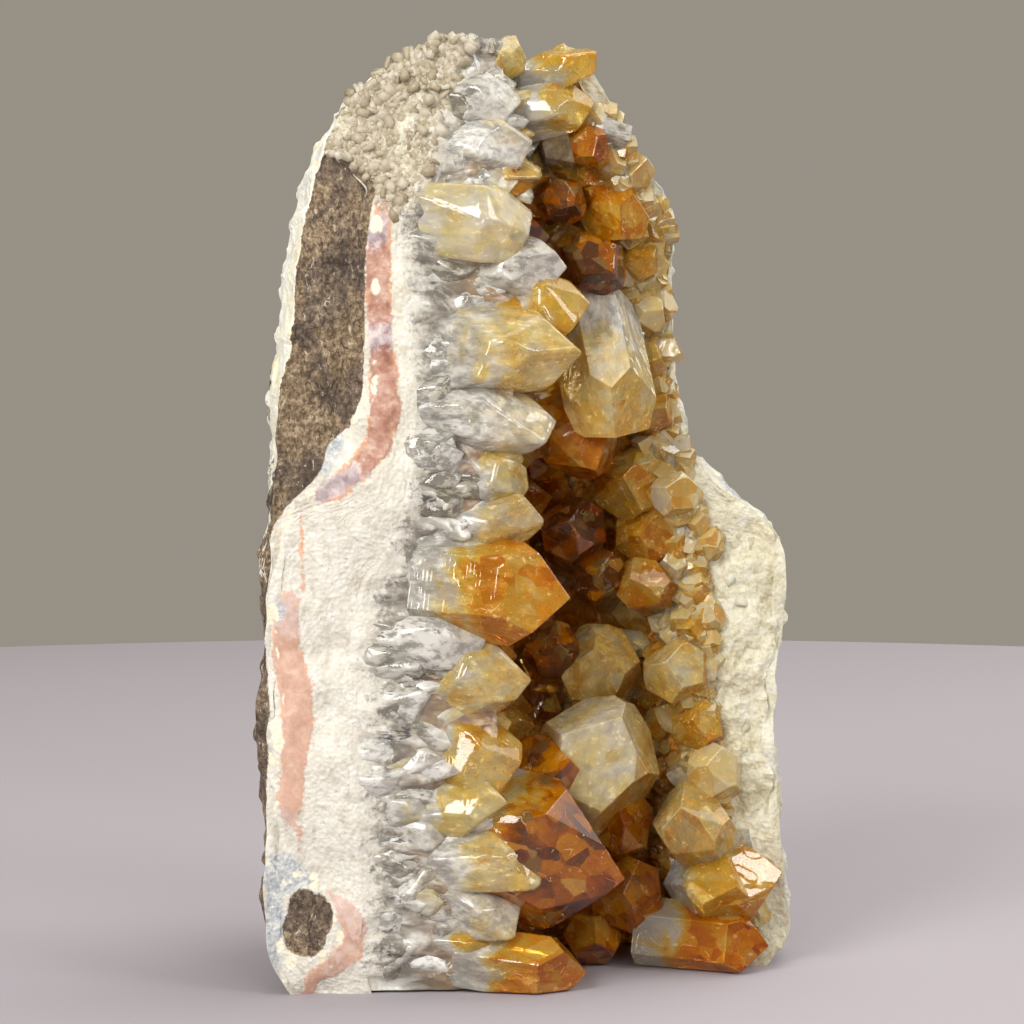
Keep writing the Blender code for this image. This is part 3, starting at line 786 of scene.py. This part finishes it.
def crystal_material():
    """Quartz from milky white through honey and amber to brown, clearer towards the tips."""
    n = Nodes("citrine quartz")
    grain = n.attribute("grain", "Vector")
    hue, milk, smoke = n.three("look")
    along, start, seed = n.three("along")
    facet_tone_and_shade = n.attribute("facet_tone_and_shade")
    clouds = n.minus(n.noise(grain, 0.15, 2, 0.6, 0.6), 0.5)
    wisps = n.minus(n.noise(n.scaled(grain, (1.0, 1.0, 0.45)), 0.75, 3, 0.65), 0.5)
    reach = n.muladd(clouds, 0.7, along)
    tipward = n.remap(n.minus(reach, start), 0.0, 0.4)
    warmth = n.times(hue, n.muladd(tipward, 0.9, 0.1))
    warmth = n.muladd(wisps, n.muladd(tipward, 0.12, 0.08), warmth)
    warmth = n.muladd(clouds, 0.45, warmth)
    # Faces turned from the key light are painted warmer as part of their painted shade, and some faces at
    # random too
    warmth = n.muladd(n.minus(facet_tone_and_shade, 0.5), 0.16, warmth)
    # Painted reflections: straight-edged parts of differing tone stand for the faces at the back seen through
    # the ones in front, and some of them get painted shade or painted highlights
    inner = n.parts(n.cells(n.scaled(grain, (1.0, 1.0, 0.55)), 0.52, output="Color"))
    swing = n.times(n.times(tipward, hue), 0.34)
    warmth = n.muladd(n.minus(inner[0], 0.5), swing, warmth)
    colour_stops = [
        (0.0, 242, 240, 233), (0.16, 247, 240, 220), (0.34, 250, 231, 164), (0.52, 252, 206, 78),
        (0.70, 250, 168, 14), (0.86, 222, 124, 10), (1.0, 134, 82, 40),
    ]
    colour = n.ramp(warmth, colour_stops)
    streaked = n.times(wisps, n.muladd(smoke, 4.5, 0.8))
    cloudy = n.remap(n.math("ADD", streaked, milk), 0.25, 0.75)
    cloudy = n.times(cloudy, n.muladd(tipward, -0.6, 1.0), clamp=True)
    pale = n.mix(n.remap(warmth, 0.12, 0.5), srgb(240, 237, 230), srgb(246, 220, 136))
    colour = n.mix(n.times(cloudy, 0.6), colour, pale)
    # Painted shade: the darker colours that faces turned from the light, and some inner parts, are multiplied
    # towards
    painted_shade_stops = [
        (0.08, 190, 186, 176), (0.26, 216, 202, 164), (0.46, 224, 178, 88), (0.75, 206, 140, 56),
        (1.0, 172, 102, 42),
    ]
    deep = n.ramp(warmth, painted_shade_stops)
    # Painted shade on faces turned from the key light, and on some faces at random
    shaded = n.remap(facet_tone_and_shade, 0.2, 0.9, 0.0, 0.9)
    colour = n.mix(shaded, colour, deep, "MULTIPLY")
    # Painted shade on some of the inner parts
    colour = n.mix(n.remap(inner[1], 0.0, 0.5, 0.36, 0.0), colour, deep, "MULTIPLY")
    # Painted highlights on some of the inner parts
    painted_highlight = n.mix(n.remap(warmth, 0.14, 0.4), srgb(250, 249, 245), srgb(255, 228, 134))
    colour = n.mix(n.remap(inner[1], 0.7, 1.0, 0.0, 0.3), colour, painted_highlight)
    greyer = n.times(n.minus(1.0, tipward), n.times(smoke, seed))
    colour = n.mix(n.times(greyer, 2.4, clamp=True), colour, srgb(176, 170, 156), "MULTIPLY")
    # Healed cracks, painted glints in them and sooty specks
    crack = n.remap(n.math("ABSOLUTE", clouds), 0.0, 0.006, 0.5, 0.0)
    crack = n.times(crack, n.remap(wisps, 0.0, 0.06))
    # Painted glints: small bright spots along the cracks, towards the tips
    painted_glint_cells = n.parts(n.cells(n.scaled(grain, (1.0, 1.0, 0.7)), 2.3, output="Color"))[0]
    painted_glint = n.times(n.remap(painted_glint_cells, 0.88, 0.94, 0.0, 0.4), n.remap(wisps, 0.0, 0.1))
    painted_glint = n.times(painted_glint, n.remap(warmth, 0.55, 0.85, 1.0, 0.25))
    # The healed cracks and the painted glints, both whitened and made less clear
    bright = n.math("MAXIMUM", crack, n.times(painted_glint, tipward))
    colour = n.mix(bright, colour, srgb(255, 240, 190))
    soot = n.times(n.remap(wisps, 0.09, 0.13), n.muladd(tipward, -1.0, 1.0, clamp=True))
    soot = n.times(soot, n.times(n.remap(clouds, 0.01, 0.06), n.remap(smoke, 0.0, 0.3)))
    colour = n.mix(n.times(soot, 0.8), colour, srgb(74, 68, 64))
    clear = n.muladd(cloudy, -0.5, 0.7)
    clear = n.times(clear, n.muladd(n.math("MAXIMUM", soot, bright), -0.7, 1.0))
    ruled = n.remap(n.math("ADD", clouds, n.times(facet_tone_and_shade, 0.1)), 0.05, 0.12, 0.0, 0.25)
    waves = n.noise(grain, 0.32, 1, 0.5)
    lines = n.noise(n.scaled(grain, (0.1, 0.1, 2.4)), 1.2, 0, 0.5)
    normal = n.bump(n.muladd(lines, ruled, waves), 0.0006, 0.2)
    rough = n.muladd(cloudy, 0.16, 0.03)
    n.shader.inputs["IOR"].default_value = 1.544
    return n.finish(Base_Color=colour, Roughness=rough, Transmission_Weight=clear, Normal=normal)


def rock_material(name):
    """The broken rock: basalt, the agate band, sugary white quartz and clearer grey quartz."""
    n = Nodes(name)
    spot = n.scaled(n.add("ShaderNodeTexCoord").outputs["Object"], (1000, 1000, 1000))
    basalt, agate, blue = n.three("inside")
    cool, glass, cream = n.three("tint")
    skin, warm, tone = n.three("skin")
    large = n.noise(spot, 0.2, 3, 0.6, 0.4)
    medium = n.noise(spot, 0.55, 3, 0.6, 0.5)
    small = n.noise(spot, 1.3, 3, 0.7, 0.3)
    ragged = n.minus(n.blend(small, medium, 0.5), 0.5)

    def edge(value, loose, soft=0.15):
        moved = n.muladd(ragged, loose, value)
        return n.remap(moved, -soft, soft)

    # White and cream sugary quartz
    white = n.ramp(medium, [(0.3, 194, 187, 172), (0.48, 213, 208, 195), (0.66, 225, 222, 212)])
    buff = n.ramp(
        n.blend(small, large, 0.5),
        [(0.36, 172, 161, 126), (0.46, 198, 191, 160), (0.55, 212, 208, 187), (0.66, 224, 222, 208)],
    )
    colour = n.mix(cream, white, buff)
    # Clearer grey quartz with cloudy white parts and nests of soot
    is_glass = n.remap(n.muladd(ragged, 2.2, glass), 0.08, 0.6)
    lengthwise = n.scaled(spot, (0.5, 0.9, 1.0))
    clouds = n.noise(lengthwise, 0.32, 3, 0.6, 0.5)
    # On the bed, tone holds painted shade in the seams between grains, as well as each grain's own tone
    level = n.blend(tone, clouds, 0.2)
    grey = n.ramp(
        level,
        [(0.4, 116, 110, 100), (0.48, 156, 150, 138), (0.55, 186, 183, 174), (0.64, 222, 222, 216)],
    )
    colour = n.mix(is_glass, colour, grey)
    nests = n.remap(n.noise(lengthwise, 0.2, 2, 0.6, 0.4), 0.5, 0.6)
    soot = n.noise(n.scaled(spot, (0.45, 1.3, 1.9)), 0.9, 2, 0.7, 0.6)
    speck = n.times(n.remap(soot, 0.53, 0.6), n.times(nests, n.remap(glass, 0.15, 0.6)))
    colour = n.mix(n.times(speck, 0.9), colour, srgb(66, 68, 74))
    amber = n.ramp(
        medium, [(0.3, 120, 68, 16), (0.45, 186, 118, 36), (0.6, 226, 168, 76), (0.75, 240, 206, 136)]
    )
    colour = n.mix(warm, colour, amber)
    # The agate band, with an orange line along its edges
    pink = n.ramp(
        n.blend(small, medium, 0.3),
        [(0.34, 136, 88, 70), (0.45, 164, 116, 96), (0.56, 184, 142, 122), (0.68, 206, 178, 158)],
    )
    lavender = n.ramp(medium, [(0.35, 150, 134, 138), (0.5, 178, 162, 164), (0.65, 206, 190, 184)])
    banded = n.mix(n.remap(n.muladd(ragged, 1.5, cool), 0.35, 0.6), pink, lavender)
    rim = n.remap(n.muladd(ragged, 1.6, agate), 0.1, 0.7, 0.75, 0.0)
    rim = n.times(rim, n.remap(large, 0.5, 0.58))
    banded = n.mix(n.remap(large, 0.52, 0.66, 0.0, 0.4), banded, srgb(224, 200, 182))
    banded = n.mix(rim, banded, srgb(224, 152, 98))
    banded = n.mix(n.remap(tone, 0.0, 1.0, 0.5, 0.0), banded, srgb(222, 184, 160))
    colour = n.mix(edge(agate, 3.4, 0.2), colour, banded)
    slate = n.ramp(small, [(0.35, 132, 140, 152), (0.5, 176, 182, 184), (0.65, 214, 212, 204)])
    colour = n.mix(n.times(edge(blue, 2.6, 0.5), 0.85), colour, slate)
    # Cream nodules along the basalt
    pebbles = n.remap(n.cells(n.scaled(spot, (1.0, 1.0, 0.6)), 0.42), 0.36, 0.46, 1.0, 0.0)
    beside = n.minus(1.1, n.math("ABSOLUTE", n.math("ADD", basalt, 1.1)))
    nodules = n.times(edge(beside, 2.5, 0.2), n.times(pebbles, n.remap(large, 0.46, 0.52)))
    colour = n.mix(nodules, colour, srgb(236, 226, 200))
    # Basalt
    rock = n.ramp(
        n.blend(small, large, 0.6),
        [(0.38, 54, 44, 36), (0.47, 88, 74, 61), (0.55, 118, 101, 84), (0.66, 162, 142, 118)],
    )
    tan = n.ramp(small, [(0.38, 96, 78, 56), (0.5, 136, 114, 86), (0.62, 170, 150, 120)])
    patches = n.noise(spot, 0.085, 3, 0.6, 0.8)
    rock = n.mix(n.remap(patches, 0.47, 0.55, 0.0, 0.75), rock, tan)
    rock = n.mix(n.remap(patches, 0.44, 0.36, 0.0, 0.6), rock, srgb(70, 56, 46))
    fibres = n.noise(n.scaled(spot, (1.3, 1.0, 0.5)), 0.8, 3, 0.7, 1.2)
    rock = n.mix(n.remap(fibres, 0.48, 0.34, 0.0, 0.8), rock, srgb(50, 41, 34))
    crusted = n.times(n.remap(fibres, 0.56, 0.64), n.remap(medium, 0.5, 0.62))
    rock = n.mix(n.times(crusted, 0.75), rock, srgb(204, 194, 168))
    is_basalt = edge(basalt, 1.6, 0.12)
    colour = n.mix(is_basalt, colour, rock)
    # The pale skin on the outside
    runs = n.noise(n.scaled(spot, (1.0, 1.0, 0.08)), 0.45, 3, 0.6, 0.3)
    pale = n.ramp(
        runs,
        [(0.3, 200, 206, 210), (0.45, 232, 231, 220), (0.6, 240, 234, 208), (0.75, 212, 188, 130)],
    )
    torn = n.muladd(ragged, 0.9, n.minus(large, 0.5))
    is_skin = n.remap(n.muladd(torn, 1.6, skin), 0.4, 0.56)
    colour = n.mix(is_skin, colour, pale)
    grit = n.cells(spot, 1.5)
    rocky = n.remap(basalt, -0.2, 0.2)
    hard = n.math("MAXIMUM", n.math("MAXIMUM", n.remap(agate, -0.1, 0.4), skin), rocky)
    sugar = n.muladd(n.math("MAXIMUM", hard, n.remap(glass, 0.1, 0.4)), -0.9, 1.0)
    relief = n.times(grit, n.times(sugar, 0.28))
    relief = n.muladd(small, n.muladd(rocky, 1.0, 0.1), relief)
    normal = n.bump(relief, 0.0007, 0.7)
    rough = n.muladd(is_glass, -0.32, 0.5)
    rough = n.muladd(is_basalt, 0.35, rough)
    rough = n.muladd(is_skin, -0.3, rough)
    return n.finish(Base_Color=colour, Roughness=rough, Normal=normal)


# Pieces

# How many cells the rind, the wall and the bed have: round the hollow, through and up
RIND_CELLS = (110, 26, 240)
WALL_CELLS = (40, 40, 320)
BED_CELLS = (70, 36, 280)
BED_START = 0.4
# As far inside or outside a mineral as paint tells apart, in mm
FAR = 3.0


def outer_left(z):
    """The fragment's left edge at a height."""
    return plan_at(min(z, HIGHEST))[0].left


def paint(points, spots, counts, kind):
    """The mineral at each point of a lattice, as three lists of vectors that rock_material reads."""
    inside, tint, skin = [], [], []
    for p, (u, share, s, z, i, j, k) in zip(points, spots):
        left_end, right_end = i == 0, i == counts[0]
        flat = k in (0, counts[2])
        basalt = agate = blue = -FAR
        cool, glass, cream = 0.3, 0.0, 0.0
        pale = warm = 0.0
        if left_end or (flat and not right_end):
            x = p.x if left_end else outer_left(z) + max(0.0, (place(u, s, z) - place(u, 0, z)).length)
            basalt, agate, cool, blue, past = minerals(x, z)
            glass = between(-FAR, 7.0 + 2.0 * between(75, 55, z), past)
            high = between(119, 124, z)
            cream = 0.35 * between(60, 100, z) + 0.45 * high
            if left_end and z > 120:
                glass *= 1 - 0.5 * high * between(-8, -14, p.x)
            if kind == "rind" and not left_end:
                basalt = FAR
            if kind == "wall" and not left_end:
                basalt = -FAR
        elif right_end:
            cream = 0.9
            glass = -0.3 if kind == "wall" else 0.0
            blue = 1.6 * noise.noise(p / 7.0) - 0.9 if kind == "rind" else -FAR
        elif kind == "rind":
            basalt = FAR
            drift = noise.noise(p / 11.0)
            pale = between(0.3, 0.08, u + 0.16 * drift) * between(54, 86, z + 16 * drift) * (j == 0)
            if u > 0.6:
                worn_off = between(0.7, 0.94, u + 0.14 * drift + 0.05 * noise.noise(p / 3.0))
                basalt = FAR - 2 * FAR * worn_off
                blue = 2.6 * noise.noise(p / 8.0 + Vector((3, 1, 2))) - 0.2
                cream = 0.35 + 0.5 * between(-0.3, 0.4, noise.noise(p / 6.0))
        if kind == "bed":
            cream *= 0.3
            if right_end:
                glass, cream = 0.0, 1.0
                warm = 0.35 * between(0.2, 0.9, share)
            else:
                deep = between(0.3, 0.9, share) * (1 - 0.7 * between(118, 130, z))
                warm = deep * (0.3 if left_end else between(0.0, 0.08, u) * 0.6 + 0.4)
                if not left_end and not flat:
                    warm = 1 - 0.6 * between(120, 132, z)
                glass = glass if left_end else max(glass, between(0.05, 0.3, share))
        inside.append([clamp(v, -FAR, FAR) for v in (basalt, agate, blue)])
        tint.append((cool, glass, cream))
        skin.append((pale, warm, 0.5 if kind == "bed" else between(62, 80, z)))
    return {"inside": inside, "tint": tint, "skin": skin}


def pebble(p, size, offset=0.0):
    """Rounded grains: 0 in the seams and 1 on top, and the grain's own number from 0 to 1."""
    reach, cores = noise.voronoi(p / size + Vector((offset, offset, offset)))
    number = math.sin(cores[0].x * 12.9 + cores[0].y * 78.2 + cores[0].z * 37.7) * 43.7
    return between(0.0, 0.45, reach[1] - reach[0]), number - math.floor(number)


def make_rind():
    points, faces, spots = lattice(RIND_CELLS, lambda u, z: (0.0, rind_share(u, z) + 0.01))
    layers = paint(points, spots, RIND_CELLS, "rind")

    def amount(n, p, spot, on_end, on_top):
        if on_end or on_top:
            fibrous = Vector((p.x, p.y, p.z * 0.4 + p.x * 0.2))
            ledges = 0.9 - 2.2 * abs(noise.noise(fibrous / 4.2))
            return 0.8 * noise.noise(p / 6.5) + 0.5 * ledges + 0.35 * noise.noise(fibrous / 1.3) - 0.1
        if spot.j == 0:
            pits = between(0.15, 0.5, noise.noise(p / 2.4))
            ledges = 0.4 - abs(noise.noise(Vector((p.x, p.y, p.z * 0.6)) / 6.0))
            return 0.9 * noise.noise(p / 9.0) + ledges + 0.3 * noise.noise(p / 1.9) - 0.5 * pits - 0.1
        return 0.0

    push(points, faces, spots, RIND_CELLS, amount)
    return as_object("basalt", points, faces, layers)


def make_wall():
    points, faces, spots = lattice(WALL_CELLS, lambda u, z: (rind_share(u, z) - 0.01, 1.02), 0.8)
    layers = paint(points, spots, WALL_CELLS, "wall")

    def amount(n, p, spot, on_end, on_top):
        if not (on_end or on_top):
            return 0.0
        smooth = clamp(layers["inside"][n][1] + 0.3)
        high = between(117, 124, spot.z)
        rough = 0.7 * noise.noise(p / 6.0)
        if spot.i == 0 or on_top:
            grains = 0.08 * pebble(p, 1.7)[0] + 0.06 * pebble(p, 0.9, 5.0)[0]
            lumps = 0.35 * pebble(p, 1.5, 9.0)[0]
            chunks = 0.6 * noise.noise(p / 3.4) + lumps + 0.2 * pebble(p, 0.8, 3.0)[0]
            return rough + grains * (1 - smooth) * (1 - high) + chunks * high - 0.2
        melted = 1.3 * noise.noise(Vector((p.x, p.y, p.z * 0.7)) / 3.6) + 0.35 * noise.noise(p / 1.5)
        return rough + melted + 0.2 * pebble(p, 2.4)[0] + 0.08 * pebble(p, 1.1)[0] - 0.3

    push(points, faces, spots, WALL_CELLS, amount)
    return as_object("agate_quartz", points, faces, layers)


def make_bed():
    points, faces, spots = lattice(BED_CELLS, lambda u, z: (0.98, 2.0), 0.5, BED_START)
    layers = paint(points, spots, BED_CELLS, "bed")
    skin = layers["skin"]

    def amount(n, p, spot, on_end, on_top):
        if spot.i == 0 or on_top:
            lengthwise = Vector((p.x * 0.42, p.y, p.z + 0.1 * p.x))
            warp = Vector((noise.noise(p / 5.0), 0, noise.noise(p / 4.0 + Vector((7, 7, 7))))) * 1.6
            first, own = pebble(lengthwise + warp, 4.4)
            second, finer = pebble(lengthwise + warp, 1.9, 4.0)
            # The third number is each grain's own tone, with painted shade: it is darker in the seams between
            # grains
            skin[n] = (skin[n][0], skin[n][1], 0.55 * own * first + 0.3 * finer + 0.15 * second)
            held = between(0.0, 0.25, spot.share)
            return (0.7 * first + 0.6 * noise.noise(lengthwise / 2.4) + 0.2) * (0.25 + 0.75 * held) - 0.4
        if on_end:
            return 0.8 * pebble(p, 2.6)[0] + 0.3 * pebble(p, 1.2)[0] - 0.4
        if spot.j == BED_CELLS[1]:
            return 0.8 * pebble(p, 2.8)[0]
        return 0.0

    push(points, faces, spots, BED_CELLS, amount)
    return as_object("crystal_bed", points, faces, layers)


# The left end's worn columns start this far behind the roots of the sharp ones
ROOT_INSET = Vector((-3.0, 2.4, 0))
# How many small crystals and grains there are in each place
COLUMNS, IN_HOLLOW, ON_RIM, ON_MARGIN, ON_TOP = 100, 420, 420, 46, 120
CORNER_GRAINS, TOP_GRAINS, RIGHT_GRAINS = 2300, 1000, 700


def about(chance, *axes):
    """A direction drawn at random. Each axis is a number, or a mean and a spread."""
    drawn = [chance.gauss(*axis) if isinstance(axis, tuple) else axis for axis in axes]
    return Vector(drawn).normalized()


def strayed(chance, way, spread):
    """A direction turned at random."""
    return (way + Vector([chance.gauss(0, spread) for _ in range(3)])).normalized()


def chip(planes, middle, radius, chance, count, lean, reach):
    """Adds planes on the broken end's side, where bits came off. lean is the mean x and z of the way they
    face and reach is how far from the middle they are, as shares of the radius."""
    for _ in range(count):
        way = about(chance, (lean[0], 0.5), (-1, 0.4), (lean[1], 0.8))
        planes[0].append(way)
        planes[1].append(way.dot(middle) + radius * chance.uniform(*reach))


def make_points():
    """The large points and the ones that fill the bed, sharp, and the left end's worn columns."""
    chance = random.Random(SEED)
    detail = random.Random(SEED + 5)
    sharp_ones, worn_ones = Crystals(), Crystals()
    for n, point in enumerate(LARGE_POINTS + fill_points(chance)):
        planes = quartz_planes(point.tip, point.root, point.radius, chance)
        look = LOOKS[point.look]
        if n < LEFT_END_POINTS and point.look not in ("russet", "orange"):
            tip, root = Vector(point.tip), Vector(point.root) + ROOT_INSET
            planes = quartz_planes(tip, root, point.radius, random.Random(n))
            chip(planes, root.lerp(tip, 0.55), point.radius, detail, 6, (0.0, 0.1), (0.74, 0.98))
            worn_ones.add(tip, root, look, planes, detail, rounded=WORN_LARGE)
        else:
            sharp_ones.add(point.tip, point.root, look, planes, detail, 0.14 if point.radius > 3 else 0.08)
    return sharp_ones.made("citrine_points"), worn_ones.made("broken_columns")


def make_small():
    """The small crystals: columns between the large ones on the left end, and points in the hollow, along the
    rim and on the top."""
    chance = random.Random(SEED + 9)
    crystals = Crystals()

    def add(foot, out, radius, length, depth, look, rounded=None):
        root, tip = foot - out * depth, foot + out * length
        if rounded:
            root.y += 0.7 * radius
        planes = quartz_planes(tip, root, radius, chance)
        if rounded:
            chip(planes, root.lerp(tip, 0.5), radius, chance, 4, (0.2, 0), (0.5, 0.9))
        crystals.add(tip, root, LOOKS[look], planes, chance, rounded=rounded)

    # Columns on the left end
    for n in range(COLUMNS):
        z = 3 + 134 * (n + chance.uniform(-0.4, 0.4)) / COLUMNS
        t = chance.uniform(0.08, 0.9)
        foot = place(0.0, 1.0 + t, max(2.0, z))
        out = about(chance, 1, (-0.06, 0.07), (0.02, 0.13))
        radius = chance.uniform(1.8, 3.6)
        dull = ["grey", "smoky", "smoky"] if z > 70 else ["grey", "grey", "clear"]
        look = chance.choice(dull if t < 0.7 else ["clear", "honey", "gold"])
        inset = Vector((0, radius * chance.uniform(0.1, 0.45), 0))
        depth = chance.uniform(4, 8) * min(1.0, 0.3 + t)
        add(foot + inset, out, radius, chance.uniform(5, 9), depth, look, WORN_SMALL)
    # Points in the hollow
    for _ in range(IN_HOLLOW):
        z = chance.uniform(2, 134)
        u = chance.uniform(0.03, 0.97)
        out = strayed(chance, out_of_bed(u, z), 0.3)
        radius = chance.uniform(0.9, 2.4)
        add(place(u, 2, z), out, radius, radius * chance.uniform(0.8, 2.0), 2.5, pick_look(chance, u, z))
    # The right end's rim, where the points cover the whole end above the shoulder
    for _ in range(ON_RIM):
        z = chance.uniform(3, 135)
        least = 1.0 - 0.85 * between(70, 82, z)
        s = least + (2.05 - least) * chance.random()
        out = about(chance, (0.75 - 0.5 * s, 0.3), -1, (0.1, 0.35))
        radius = chance.uniform(0.8, 2.5)
        look = chance.choice(["yellow", "yellow", "cream", "honey"])
        add(place(1.0, s, z), out, radius, radius * chance.uniform(0.8, 1.9), 2.0, look)
    # Clearer points along the inner edge of the cream face
    for _ in range(ON_MARGIN):
        z = chance.uniform(18, 84)
        foot = place(1.0, chance.uniform(1.0, 1.7), z)
        out = about(chance, (-0.5, 0.3), -1, (0.2, 0.35))
        radius = chance.uniform(1.6, 3.0)
        length = radius * chance.uniform(0.6, 1.4)
        add(foot, out, radius, length, 3.0, chance.choice(["clear", "yellow", "honey"]))
    # The top
    for _ in range(ON_TOP):
        u = chance.uniform(0, 1)
        foot = place(u, chance.uniform(0.9, 2.0), HIGHEST - chance.uniform(0, 3) * (u < 0.02))
        out = about(chance, (0, 0.4), (-0.5, 0.4), 1)
        radius = chance.uniform(0.6, 1.8)
        look = chance.choice(["grey", "smoky", "smoky"] if foot.x < 4 else ["honey", "gold", "yellow"])
        add(foot, out, radius, radius * chance.uniform(0.3, 0.8), 2.0, look)
    return crystals.made("small_points")


def make_sugar():
    """Blocky cream grains on the wall's upper left end and on the top, and paler ones along the right end."""
    chance = random.Random(SEED + 13)
    crystals = Crystals()

    def add(foot, way, least, spread, tallest, look):
        """A grain whose height is up to tallest times its radius."""
        radius = least + spread * chance.random() ** 2
        height = radius * chance.uniform(0.1, tallest)
        out = strayed(chance, Vector(way), 0.45)
        tip, root = foot + out * height, foot - out * 2
        crystals.add(tip, root, LOOKS[look], quartz_planes(tip, root, radius, chance), chance)

    for _ in range(CORNER_GRAINS):
        z = chance.uniform(117, 141)
        s = chance.uniform(0.0, 1.05)
        if z >= 124 or s >= rind_share(0, z) + 0.12:
            add(place(0.0, s, z) - Vector((0, 0.35, 0)), (-0.2, -1, 0.3), 0.3, 0.6, 0.5, "cream")
    for _ in range(TOP_GRAINS):
        foot = place(chance.uniform(0.0, 0.7), chance.uniform(0.05, 1.1), HIGHEST)
        add(foot, (0, -0.2, 1), 0.3, 0.6, 0.5, "cream")
    for _ in range(RIGHT_GRAINS):
        z = chance.uniform(4, 84)
        foot = place(1.0, chance.uniform(0.5, 1.8), z) + Vector((0, 0.5, 0))
        add(foot, (0, -1, 0.3), 0.5, 0.9, 0.4, "yellow")
    crystals.smooth = [True] * len(crystals.smooth)
    return crystals.made("sugary_grains")


def sugar_material():
    n = Nodes("cream sugary grains")
    grain = n.attribute("grain", "Vector")
    seed = n.three("along")[2]
    milk = n.three("look")[1]
    tone = n.blend(seed, n.noise(grain, 0.8, 2, 0.6), 0.6)
    colour = n.ramp(tone, [(0.2, 170, 154, 126), (0.5, 196, 184, 158), (0.8, 216, 207, 188)])
    paler = n.ramp(tone, [(0.2, 190, 182, 146), (0.5, 213, 208, 182), (0.8, 226, 223, 206)])
    colour = n.mix(n.remap(milk, LOOKS["cream"].milk, LOOKS["yellow"].milk), colour, paler)
    normal = n.bump(n.noise(grain, 2.5, 2, 0.6), 0.0002, 0.6)
    return n.finish(Base_Color=colour, Roughness=0.36, Transmission_Weight=0.2, Normal=normal)


# The studio


def make_stage():
    data = bpy.data.meshes.new("floor")
    mesh = bmesh.new()
    bmesh.ops.create_circle(mesh, cap_ends=True, radius=0.5, segments=128)
    mesh.to_mesh(data)
    mesh.free()
    floor = bpy.data.objects.new("floor", data)
    bpy.context.scene.collection.objects.link(floor)
    n = Nodes("pale floor")
    n.finish(Base_Color=(*srgb(170, 164, 170), 1), Roughness=0.9, Specular_IOR_Level=0.1)
    data.materials.append(n.material)


# The lights: name, place in m, width and height in m, power in W and colour
LIGHTS = [
    ("key", (-0.44, -0.70, 0.56), (0.36, 0.36), 6.0, (1.0, 0.985, 0.96)),
    ("fill", (0.66, -0.46, 0.58), (0.32, 0.32), 2.4, (1.0, 0.99, 0.97)),
    ("strip front", (-0.18, -0.9, 0.22), (0.1, 0.34), 1.2, (1, 1, 1)),
    ("strip right", (0.3, -0.84, 0.5), (0.3, 0.1), 1.2, (1, 1, 1)),
    ("strip left", (-0.62, -0.55, 0.2), (0.1, 0.3), 1.2, (1, 1, 1)),
    ("top", (0.1, 0.1, 0.8), (0.6, 0.6), 2.6, (1, 1, 1)),
    ("rim", (0.56, 0.36, 0.6), (0.8, 0.8), 4.2, (1.0, 0.97, 0.92)),
]
LIT_SPOT = (0, 0, 0.07)
# The camera's place in the drawing, its turn downwards in degrees, and its lens and sensor in mm
CAMERA_AT, CAMERA_DOWN = (0, -480, 98.4), 3.39
LENS, SENSOR = 108, 36


def area_light(name, spot, size, power, colour):
    data = bpy.data.lights.new(name, "AREA")
    data.shape = "RECTANGLE"
    data.size, data.size_y = size
    data.energy = power
    data.color = colour
    made = bpy.data.objects.new(name, data)
    made.location = spot
    made.rotation_euler = (Vector(LIT_SPOT) - Vector(spot)).to_track_quat("-Z", "Y").to_euler()
    bpy.context.scene.collection.objects.link(made)


def make_studio():
    scene = bpy.context.scene
    for light in LIGHTS:
        area_light(*light)
    world = bpy.data.worlds.new("studio")
    world.use_nodes = True
    background = world.node_tree.nodes["Background"]
    background.inputs["Color"].default_value = (*srgb(190, 182, 169), 1)
    background.inputs["Strength"].default_value = 0.6
    scene.world = world
    data = bpy.data.cameras.new("camera")
    data.lens, data.sensor_width = LENS, SENSOR
    camera = bpy.data.objects.new("camera", data)
    camera.location = (Vector(CAMERA_AT) - MIDDLE) * MM
    camera.rotation_euler = (math.radians(90 - CAMERA_DOWN), 0, 0)
    scene.collection.objects.link(camera)
    scene.camera = camera
    scene.view_settings.view_transform = "Standard"


def main():
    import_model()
    crystal = crystal_material()
    sharp_ones, worn_ones = make_points()
    pieces = [
        (make_rind(), rock_material("basalt rock"), "basalt_rind", "basalt"),
        (make_wall(), rock_material("agate and white quartz"), "quartz_wall", "agate_quartz"),
        (make_bed(), rock_material("grey quartz"), "citrine_crust", "citrine"),
        (sharp_ones, crystal, "citrine_crust", "citrine"),
        (worn_ones, crystal, "citrine_crust", "citrine"),
        (make_small(), crystal, "citrine_crust", "citrine"),
        (make_sugar(), sugar_material(), "quartz_wall", "agate_quartz"),
    ]
    for piece, material, node, slot in pieces:
        piece.data.materials.append(material)
        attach(piece, "root")
        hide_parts(node)
    make_stage()
    make_studio()


main()
